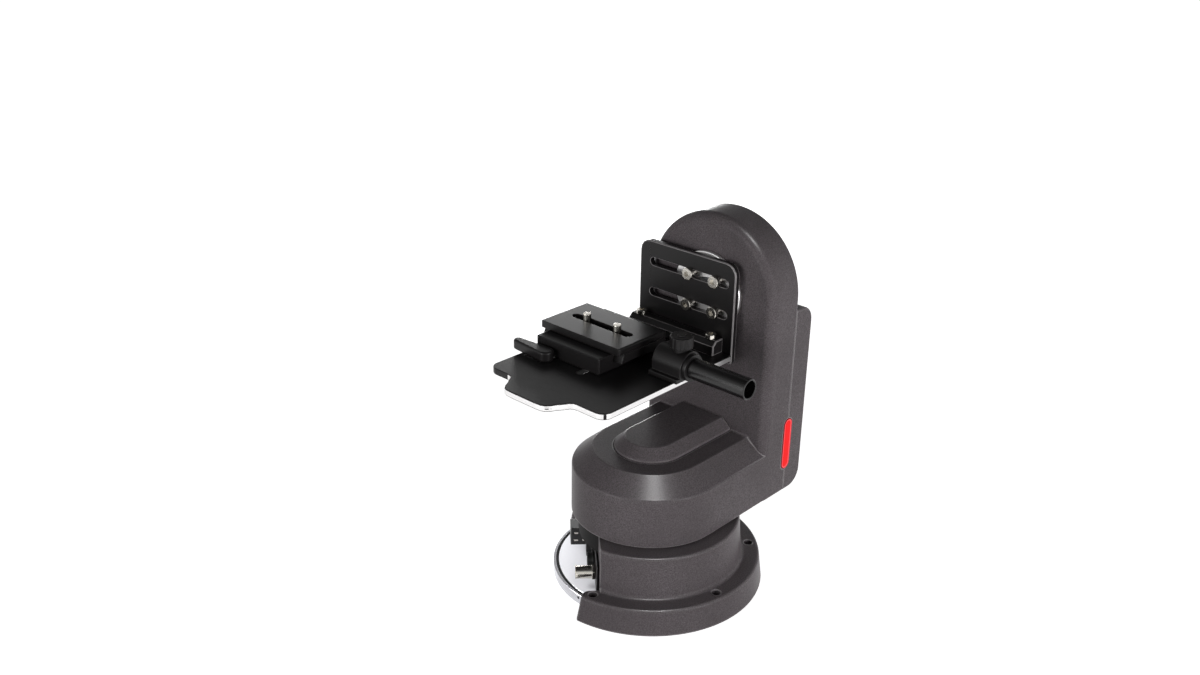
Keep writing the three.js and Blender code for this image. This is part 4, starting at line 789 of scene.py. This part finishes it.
def chamfered_nose(half, end, bottom, shoulder, top, run):
    return tapered(prism(nose(half, end), bottom, shoulder), shoulder, run, top - shoulder)


def arch(half, foot):
    return pen((-half, foot), (half, foot), (half, AXIS), (0, AXIS, 180))


def at_height(level):
    return lambda a, b: abs(a.z - level) < CLOSE and abs(b.z - level) < CLOSE


platform = chamfered_nose(HALF, PLATFORM_END, HEAD_BOTTOM, WALL_TOP, TOP, CHAMFER_RUN)
for size, level in ((0.8, HEAD_BOTTOM), (1.1, WALL_TOP), (0.7, TOP)):
    round_edges(platform, size, 3, at_height(level))

arm = lay(prism(arch(HALF, HEAD_BOTTOM), ARM_INNER, SEAM), "side")
round_edges(arm, ARM_EDGE, 9,
            lambda a, b: max(a.x, b.x) < ARM_INNER + CLOSE and a.z + b.z > 2 * HEAD_BOTTOM + 1)
round_edges(arm, 0.35, 2, lambda a, b: min(a.x, b.x) > SEAM - CLOSE)
head = unite(platform, arm)
corner = round_edges(head, CORNER_FILLET, 3,
                     lambda a, b: max(abs(a.x - ARM_INNER), abs(b.x - ARM_INNER)) < 0.02
                     and min(a.z, b.z) > WALL_TOP - 0.4 and max(a.z, b.z) < TOP + 0.6, BLUNT)
print("fillet faces between platform and arm", len(corner))

# %% [markdown]
# Then the casting is hollowed and pierced: rooms in platform and arm for the drives, a
# mouth at the seam that the cover closes, a tube for the tilt bearings, a recess and an
# opening under the cap, the spindle's hole and the slot of the tally lamp. The slot's
# outline ends in an arc that stops short of half a turn, as the pen closes the rest.

# %% Head casting, inside
WALL = 4
ROOM_SHOULDER, ROOM_RUN = 90, 12.6
MOUTH_TOP = 199
BORE_STEPS = 96  # each bore is a radius, a start, an end and its steps
BEARING_TUBE, SHAFT_HOLE = (21, 62.6, 73.1, BORE_STEPS), (16.3, 59, 75, BORE_STEPS)
SPINDLE_HOLE = (40.2, 52, 60, BORE_STEPS)
RECESS_HALF, RECESS_LEVELS = 27.8, (103.9, 107.4)
OPENING, OPENING_LEVELS = (21, 57), (99.4, 107.4)
LAMP_HALF, LAMP_X, LAMP_BOTTOM, LAMP_TOP = 5, 91.15, 77.6, 110.3
SLOT_LEVELS = (52, 60)

inside, floor_level = HALF - WALL, HEAD_BOTTOM + WALL
room_start, room_end = ARM_INNER + WALL, SEAM - WALL


def pill(grow):
    half = LAMP_HALF + grow
    return pen((LAMP_X + half, LAMP_BOTTOM), (LAMP_X + half, LAMP_TOP), (LAMP_X, LAMP_TOP, 180),
               (LAMP_X - half, LAMP_BOTTOM), (LAMP_X, LAMP_BOTTOM, 172))


def lamp_slot():
    return lay(prism(pill(GAP), *SLOT_LEVELS), "front")


platform_room = chamfered_nose(inside, room_end, floor_level, ROOM_SHOULDER, TOP - WALL, ROOM_RUN)
arm_room = lay(prism(arch(inside, floor_level), room_start, room_end), "side")
arm_mouth = lay(prism(box((-inside, floor_level), (inside, MOUTH_TOP)), room_start, SEAM + OVERRUN),
                "side")
bearing_tube = shift(lay(pin(*BEARING_TUBE), "side"), 0, 0, AXIS)
shaft_hole = shift(lay(pin(*SHAFT_HOLE), "side"), 0, 0, AXIS)
cap_recess = prism(nose(RECESS_HALF, ARM_INNER), *RECESS_LEVELS)
cap_opening = prism(nose(*OPENING), *OPENING_LEVELS)
head = unite(carve(head, platform_room, arm_room, arm_mouth), bearing_tube)
head = carve(head, shaft_hole, cap_recess, cap_opening, pin(*SPINDLE_HOLE), lamp_slot())
hand_over("head_casting_coat", head, graphite_coat, "painted_casting", "head_casting")

# %% [markdown]
# The cap on the platform is a lid with sloping sides in a shallow recess. It is drawn
# longer than it is, so that its slope runs on, and then cut off flat just before the arm.

# %% Platform cap
CAP_HALF, CAP_DRAWN_END, CAP_END = 27, 72, 60.7
CAP_BOTTOM, CAP_SHOULDER, CAP_TOP, CAP_RUN = 104.2, 106.6, 114, 7.8
CAP_ROOM, CAP_ROOM_LEVELS = (16.2, 57.7), (102, 111)

cap = chamfered_nose(CAP_HALF, CAP_DRAWN_END, CAP_BOTTOM, CAP_SHOULDER, CAP_TOP, CAP_RUN)
round_edges(cap, 0.7, 3, at_height(CAP_TOP))
round_edges(cap, 0.5, 2, at_height(CAP_SHOULDER), BLUNT)
behind_cap = prism(box((CAP_END, -40), (90, 40)), 100, 120)
cap = carve(cap, behind_cap, prism(nose(*CAP_ROOM), *CAP_ROOM_LEVELS))
round_edges(cap, 0.35, 2, lambda a, b: min(a.x, b.x) > CAP_END - CLOSE and min(a.z, b.z) > 105)
hand_over("platform_cap_coat", cap, graphite_coat, "painted_casting", "platform_cap")

# %% [markdown]
# The arm cover is a shell with two large round corners, drawn in the front view. Its
# outer edges are rolled, while the edge at the seam stays crisp, so that the joint reads
# as a thin line. Four posts inside carry the control board, with a hole for each screw.

# %% Arm cover
COVER_START, COVER_END = 91.3, 112
COVER_BOTTOM, COVER_TOP, COVER_CORNER, COVER_WALL = 53, 203, 13, 3
POSTS = [(y, z) for y in (-45, 45) for z in (66, 190)]
POST_END = 110
POST, HEAD_HOLE = (3.5, 100.3, POST_END), (3.3, 109.7, 114)

corner_x = COVER_END - COVER_CORNER
corner_low, corner_high = COVER_BOTTOM + COVER_CORNER, COVER_TOP - COVER_CORNER


def cover_outline(start, wall):
    return pen((start, COVER_TOP - wall), (start, COVER_BOTTOM + wall), (corner_x, COVER_BOTTOM + wall),
               (corner_x, corner_low, 90), (COVER_END - wall, corner_high), (corner_x, corner_high, 90))


cover = lay(prism(cover_outline(COVER_START, 0), -HALF, HALF), "front")
round_edges(cover, 1.6, 4,
            lambda a, b: a.y * b.y > (HALF - 1) ** 2 and max(a.x, b.x) > COVER_START + CLOSE)
round_edges(cover, 0.3)
cover_room = lay(prism(cover_outline(COVER_START - WALL, COVER_WALL), COVER_WALL - HALF,
                       HALF - COVER_WALL), "front")
posts, head_holes = ([shift(lay(pin(*size), "side"), 0, y, z) for y, z in POSTS]
                     for size in (POST, HEAD_HOLE))
cover = unite(carve(cover, cover_room, lamp_slot()), *posts)
cover = carve(cover, *head_holes)
hand_over("arm_cover_coat", cover, graphite_coat, "painted_casting", "arm_cover")

# %% [markdown]
# The lamp lens straddles the seam. Its front face is inset twice: the first ring is the
# deep red painted glow, the second the pinker rolled rim, and the core lies a little lower.

# %% Tally lens
CORE_FINISH, RIM_FINISH, HALO_FINISH = 0, 1, 2
LENS_BACK, LENS_FRONT = 53.8, 58.4
LENS_HALO, LENS_RIM, CORE_DEPTH = 0.6, 1.1, 0.25

lens = lay(prism(pill(0), LENS_BACK, LENS_FRONT), "front")
front = min(lens.faces, key=lambda face: face.calc_center_median().y)
# the first inset ring carries the deep red painted glow
for thickness, finish in ((LENS_HALO, HALO_FINISH), (LENS_RIM, RIM_FINISH)):
    ring = bmesh.ops.inset_region(lens, faces=[front], thickness=thickness, depth=0,
                                  use_even_offset=True)
    for face in ring["faces"]:
        face.material_index = finish
bmesh.ops.translate(lens, verts=front.verts[:], vec=(0, CORE_DEPTH, 0))
# the lens's sides in the slot get the deep red painted glow as well
for face in lens.faces:
    if abs(face.normal.y) < 0.5 and face.material_index == CORE_FINISH:
        face.material_index = HALO_FINISH
front.material_index = CORE_FINISH
hand_over("tally_diffuser", lens, [lit_core, lit_rim, red_glow_halo], "red_lens", "tally_lens")

# %% [markdown]
# The cradle hangs from the tilt hub: a side plate with two long slots, a corner block and
# a bottom plate. The first two keep their packed outlines, with broken edges. The bottom
# plate is drawn anew with a smooth bulge. Its edge is bare metal where it was trimmed
# after anodising, so the upright faces there get the milled finish. Slots come out of
# the prism by carving, which keeps the outline free for the edge's own bevel.

# %% Cradle plates
# the bevels of these two plates get the lighter grey: partly wear, partly painted highlight
refine("side_plate", 0.35, black_anodised, "black_anodised", 2, edge_wear_and_highlight)
refine("corner_block", 0.35, black_anodised, "black_anodised", 2, edge_wear_and_highlight)
refine("tilt_hub", 0.3, milled_aluminium, "machined_aluminium")

TRAY_BOTTOM, TRAY_TOP = 166, 171
TRAY_RIGHT, TRAY_LEFT, TRAY_FRONT, TRAY_REAR = 51.7, -84, -30, 82
TRAY_CORNER_X, TRAY_CORNER = -76, 8
TRAY_NECK_FRONT, TRAY_NECK_REAR = -6, 62
BULGE = [(-84.4, 59), (-86, 56.8), (-89.4, 55.1), (-93.2, 52.4), (-97, 50.5), (-100.2, 47.8),
         (-101.6, 44.6), (-102, 39), (-102, 17), (-101.6, 11.4), (-100.2, 8.2), (-97, 5.5),
         (-93.2, 3.6), (-89.4, 0.9), (-86, -0.8), (-84.4, -3)]
SLOT_LEFT, SLOT_RIGHT, SLOT_HALF, SLOT_PLACES = -46, 34, 3.2, (28, 62)
SIDE_HOLE, SIDE_HOLE_HEIGHT, SIDE_HOLE_PLACES = 0.9, 168.6, ((-101, 8.0), (-95.6, 3.6))

tray = prism(pen((TRAY_RIGHT, TRAY_FRONT), (TRAY_RIGHT, TRAY_REAR), (TRAY_CORNER_X, TRAY_REAR),
                 (TRAY_CORNER_X, TRAY_REAR - TRAY_CORNER, 90), (TRAY_LEFT, TRAY_NECK_REAR), *BULGE,
                 (TRAY_LEFT, TRAY_NECK_FRONT), (TRAY_LEFT, TRAY_FRONT + TRAY_CORNER),
                 (TRAY_CORNER_X, TRAY_FRONT + TRAY_CORNER, 90)), TRAY_BOTTOM, TRAY_TOP)
slots = [prism(pen((SLOT_LEFT, y - SLOT_HALF), (SLOT_RIGHT, y - SLOT_HALF), (SLOT_RIGHT, y, 180),
                   (SLOT_LEFT, y + SLOT_HALF), (SLOT_LEFT, y, 172)),
               TRAY_BOTTOM - OVERRUN, TRAY_TOP + OVERRUN) for y in SLOT_PLACES]
side_holes = [shift(swing(swing(pin(SIDE_HOLE, -4, 3, 20), 90, "Y"), -35), x, y, SIDE_HOLE_HEIGHT)
              for x, y in SIDE_HOLE_PLACES]
tray = carve(tray, *slots, *side_holes)
for face in tray.faces:
    middle = face.calc_center_median()
    trimmed = (middle.x < TRAY_LEFT + 2 and middle.y < TRAY_NECK_REAR) or middle.y < TRAY_FRONT + 1
    face.material_index = 1 if abs(face.normal.z) < 0.2 and trimmed else 0
for face in round_edges(tray, 0.7, 2, lambda a, b: abs(a.z - b.z) < ON_LEVEL):
    face.material_index = 0
hand_over("bottom_plate_finished", tray, [black_anodised, milled_aluminium], "black_anodised",
          "bottom_plate")

# %% [markdown]
# All cap screws are one recipe: a head and a shank are turned together from a half
# section, and a hexagon socket is sunk into the head. A screw whose shank never shows is
# drawn as a head only. The places of the screws come from the holes that they sit in.

# %% Cap screws
SCREW_CHAMFER = 0.4
HUB_SCREW, COVER_SCREW, CORNER_SCREW = (4.6, 3.4, 2.5, 8.7), (3, 2, 0, 0), (4, 3.2, 0, 0)
HUB_SCREW_X, HUB_PLACES = 51.7, [(-12, -12), (-12, 12), (12, -12), (12, 12)]
CORNER_SCREW_X, CORNER_SCREW_HEIGHT, CORNER_PLACES = 45.95, 182.6, (-15, 52)


def cap_screw(radius, height, shank, length):
    profile = [(radius - SCREW_CHAMFER, height), (radius, height - SCREW_CHAMFER), (radius, 0),
               (shank, 0), (shank, -length), (0, -length)]
    if length == 0:
        profile = profile[:3] + [(0, 0)]
    screw = turned(pen((0, height), *profile, closed=False), 40)
    socket = pin(radius * 0.5, height * 0.45, height + 1, 6)
    return carve(screw, socket)


def place_screws(kind, finish, screws):
    for i, screw in enumerate(screws, 1):
        hand_over(f"{kind}_screw_{i}_finished", screw, finish, "bearing_steel", f"{kind}_screw_{i}")


place_screws("hub", nickel, (
    shift(lay(swing(cap_screw(*HUB_SCREW), 180, "Y"), "side"), HUB_SCREW_X, y, AXIS + z)
    for y, z in HUB_PLACES))
place_screws("cover", screw_steel, (
    shift(lay(cap_screw(*COVER_SCREW), "side"), POST_END, y, z) for y, z in POSTS))
place_screws("corner", nickel, (
    shift(cap_screw(*CORNER_SCREW), CORNER_SCREW_X, y, CORNER_SCREW_HEIGHT) for y in CORNER_PLACES))

# %% [markdown]
# The rod is a thin black tube, turned with a chamfer at both rims and laid along Y. The
# rod, its clamp and the collar in front of the clamp share one axis.

# %% Rod and clamp
ROD_AXIS = 180.0
ROD, ROD_BORE, ROD_FRONT, ROD_REAR, ROD_CHAMFER = 7.5, 6.2, 85, 8, 0.4
CLAMP_BORE = 7.58
CLAMP_HALF, CLAMP_FOOT, CLAMP_FOOT_TOP = 15, 171.3, 174.7
CLAMP_RING, CLAMP_REAR, CLAMP_FRONT = 11.5, 8, 34
COLLAR, COLLAR_FRONT = 10, 37
BOSS, BOSS_BOTTOM, BOSS_TOP, BOSS_Y = 6, 188.8, 192.1, -25
CLAMP_EDGE = 0.6

tube = turned(pen((ROD - 0.9, ROD_REAR), (ROD - ROD_CHAMFER, ROD_REAR), (ROD, ROD_REAR + ROD_CHAMFER),
                  (ROD, ROD_FRONT - ROD_CHAMFER), (ROD - ROD_CHAMFER, ROD_FRONT), (ROD - 1, ROD_FRONT),
                  (ROD_BORE, ROD_FRONT - 0.3), (ROD_BORE, ROD_REAR + 0.3)), BORE_STEPS)
hand_over("support_rod_tube", shift(lay(tube, "front"), 0, 0, ROD_AXIS), rod_anodised,
          "black_anodised", "support_rod")

clamp = lay(prism(pen((-CLAMP_HALF, CLAMP_FOOT), (CLAMP_HALF, CLAMP_FOOT), (CLAMP_HALF, CLAMP_FOOT_TOP),
                      (CLAMP_RING, CLAMP_FOOT_TOP), (CLAMP_RING, ROD_AXIS), (0, ROD_AXIS, 180),
                      (-CLAMP_RING, CLAMP_FOOT_TOP), (-CLAMP_HALF, CLAMP_FOOT_TOP)),
                  CLAMP_REAR, CLAMP_FRONT), "front")
round_edges(clamp, CLAMP_EDGE)
collar = pin(COLLAR, CLAMP_FRONT - 1, COLLAR_FRONT, 64)
round_edges(collar, CLAMP_EDGE)
collar = shift(lay(collar, "front"), 0, 0, ROD_AXIS)
boss = shift(pin(BOSS, BOSS_BOTTOM, BOSS_TOP, 48), 0, BOSS_Y, 0)
bore = pin(CLAMP_BORE, CLAMP_REAR - OVERRUN, COLLAR_FRONT + OVERRUN, BORE_STEPS)
clamp = carve(unite(clamp, collar, boss), shift(lay(bore, "front"), 0, 0, ROD_AXIS))
hand_over("rod_clamp_finished", clamp, black_anodised, "black_anodised", "rod_clamp")

# %% [markdown]
# The fluted knob above the clamp and the quick release are refined copies, as their small
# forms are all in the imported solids. The table gives the bevel of each in millimetres.

# %% Knob and quick release
REFINED = {"rod_knob": 0.2, "release_base": 0.5, "camera_plate": 0.4, "release_lever": 0.6}
for node_name, edge in REFINED.items():
    refine(node_name, edge, black_anodised, "black_anodised", 3)
for node_name in ("camera_screw_front", "camera_screw_rear"):
    refine(node_name, 0.2, nickel, "bearing_steel")

# %% [markdown]
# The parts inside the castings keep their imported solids. They still get the finish that
# a service hand would see on opening the head.

# %% Finishes of the inner parts
INNER = {"pan_sun_gear": gear_brass, "tilt_belt": belt_rubber, "slip_ring_stator": black_plastic,
         "slip_ring_rotor": black_plastic, "tally_board": green_board, "control_board": green_board,
         "pan_motor_plate": black_anodised, "tilt_motor_plate": black_anodised,
         "tilt_pulley": milled_aluminium, "drive_pulley": milled_aluminium}
for node_name, cad_object in frame["nodes"].items():
    if cad_object.hide_render:
        continue
    cad_object.data.materials.clear()
    cad_object.data.materials.append(INNER.get(node_name, ground_steel))
    print(node_name.ljust(26), cad_object.data.materials[0].name)

# %% [markdown]
# The stage is a pale seamless floor. The camera, metal and glass see it white, through a
# glow that only those rays meet. Near the object the glow is a little weaker and leaves
# the floor a share of its own shading, which holds the shadow.

# %% Floor
FLOOR_REACH = 30
FLOOR_DROP_MM = 0.4
GLOW_NEAR, GLOW_FAR = 0.86, 1.0
NEAR_END, FAR_START = 0.3, 1.2
WHITE = (1, 1, 1, 1)

bm = bmesh.new()
bmesh.ops.create_grid(bm, x_segments=1, y_segments=1, size=FLOOR_REACH)
floor = place_object("floor", mesh_of("floor", bm))
floor.location.z = -FLOOR_DROP_MM * mm


def seen_share(tree):
    by_camera, by_gloss, through = (add_node(tree, "LightPath", output=f"Is {ray} Ray")
                                    for ray in ("Camera", "Glossy", "Transmission"))
    seen = add_node(tree, "Math", {}, {0: by_camera, 1: by_gloss}, operation="MAXIMUM")
    return add_node(tree, "Math", {}, {0: seen, 1: through}, operation="MAXIMUM")


paper, tree, place = start_material("seamless_paper", Roughness=0.9, Specular_IOR_Level=0.05,
                                    Base_Color=linear("#e4e4e4"))
paper_surface = tree.nodes["Principled BSDF"].outputs[0]
away = add_node(tree, "VectorMath", {}, {0: place}, "Value", operation="LENGTH")
white = add_node(tree, "MapRange",
                 {"From Min": NEAR_END, "From Max": FAR_START, "To Min": GLOW_NEAR, "To Max": GLOW_FAR},
                 {"Value": away}, "Result")
glow = add_node(tree, "Emission", {"Color": WHITE}, {"Strength": white})
glowing_paper = add_node(tree, "AddShader", {}, {0: glow, 1: paper_surface})
choice = add_node(tree, "MixShader", {},
                  {0: seen_share(tree), 1: paper_surface, 2: glowing_paper})
tree.links.new(choice, tree.nodes["Material Output"].inputs["Surface"])
floor.data.materials.append(paper)
print("floor", 2 * FLOOR_REACH, "m across")

# %% [markdown]
# Round the floor stands a studio with pale walls and a dark ceiling, so that upright faces
# are bright and level faces stay dark, as in the photograph. The height of a ray's
# direction tells wall from ceiling. Mirrored in a gloss the walls are brighter and reach
# higher than as a light, and the camera itself sees plain white.

# %% World
WALL_LIGHT, MIRROR_WALL, CEILING_LIGHT = 0.12, 0.8, 0.06
WALL_END, CEILING_START = 0.1, 0.5
MIRROR_WALL_END, MIRROR_CEILING_START = 0.45, 0.85

world = bpy.data.worlds.new("studio")
world.use_nodes = True
bpy.context.scene.world = world
tree = world.node_tree
background = tree.nodes["Background"]
direction = add_node(tree, "TexCoord", output="Generated")
height = add_node(tree, "SeparateXYZ", {}, {0: direction}, "Z")
room, mirrored = (
    add_node(tree, "MapRange", {"From Min": start, "From Max": end, "To Min": wall, "To Max": CEILING_LIGHT},
             {"Value": height}, "Result", interpolation_type="SMOOTHSTEP")
    for start, end, wall in ((WALL_END, CEILING_START, WALL_LIGHT),
                             (MIRROR_WALL_END, MIRROR_CEILING_START, MIRROR_WALL)))
lit = add_node(tree, "Mix", {},
               {FACTOR: seen_share(tree), NUMBER_A: room, NUMBER_B: mirrored}, data_type="FLOAT")
by_camera = add_node(tree, "LightPath", output="Is Camera Ray")
strength = add_node(tree, "Mix", {NUMBER_B: 1.0}, {FACTOR: by_camera, NUMBER_A: lit},
                    data_type="FLOAT")
background.inputs["Color"].default_value = WHITE
tree.links.new(strength, background.inputs["Strength"])
print("walls", WALL_LIGHT, "ceiling", CEILING_LIGHT)

# %% [markdown]
# Four soft boxes stand round the object, not far above the floor, so that upright faces
# are bright on every side. Two more are linked to a few pieces, as a studio would do with
# flags. A small one high above the camera lays the soft streak on the platform's chamfer
# and on the rolled rims, without diffuse light. One beside the bay lights the satin disc.

# %% Lamps
LAMPS = {  # place, what it looks at, size, watts
    "left_box": ((-1.24, 0.22, 0.34), (0, 0, 0.1), 0.6, 8.6),
    "front_box": ((-0.11, -1.26, 0.3), (0, 0, 0.1), 0.6, 11.6),
    "right_box": ((1.03, -0.72, 0.36), (0, 0, 0.1), 0.6, 1.5),
    "back_box": ((0.9, 0.94, 0.2), (0, 0, 0.12), 0.36, 6.5),
    "streak_box": ((-0.357, -0.47, 1.39), (-0.036, -0.036, 0.1), 0.26, 70.0),
    "bay_box": ((-0.87, 0.83, 0.8), (-0.04, 0.04, 0), 0.6, 22.5),
}
LINKED = {"streak_box": ("head_casting_coat", "base_casting_coat"), "bay_box": ("base_disc",)}
for lamp_name, (spot, target, size, power) in LAMPS.items():
    lamp_data = bpy.data.lights.new(lamp_name, "AREA")
    lamp_data.size = size
    lamp_data.energy = power
    lamp = place_object(lamp_name, lamp_data)
    lamp.location = spot
    lamp.rotation_euler = (Vector(target) - Vector(spot)).to_track_quat("-Z", "Y").to_euler()
    lamp.visible_camera = False
    lamp.visible_diffuse = lamp_name != "streak_box"
    if lamp_name in LINKED:
        lamp.light_linking.receiver_collection = bpy.data.collections.new(lamp_name + "_pieces")
        for piece_name in LINKED[lamp_name]:
            lamp.light_linking.receiver_collection.objects.link(bpy.data.objects[piece_name])
    print(lamp_name, power, "W at", spot)

bpy.context.scene.view_settings.view_transform = "Standard"
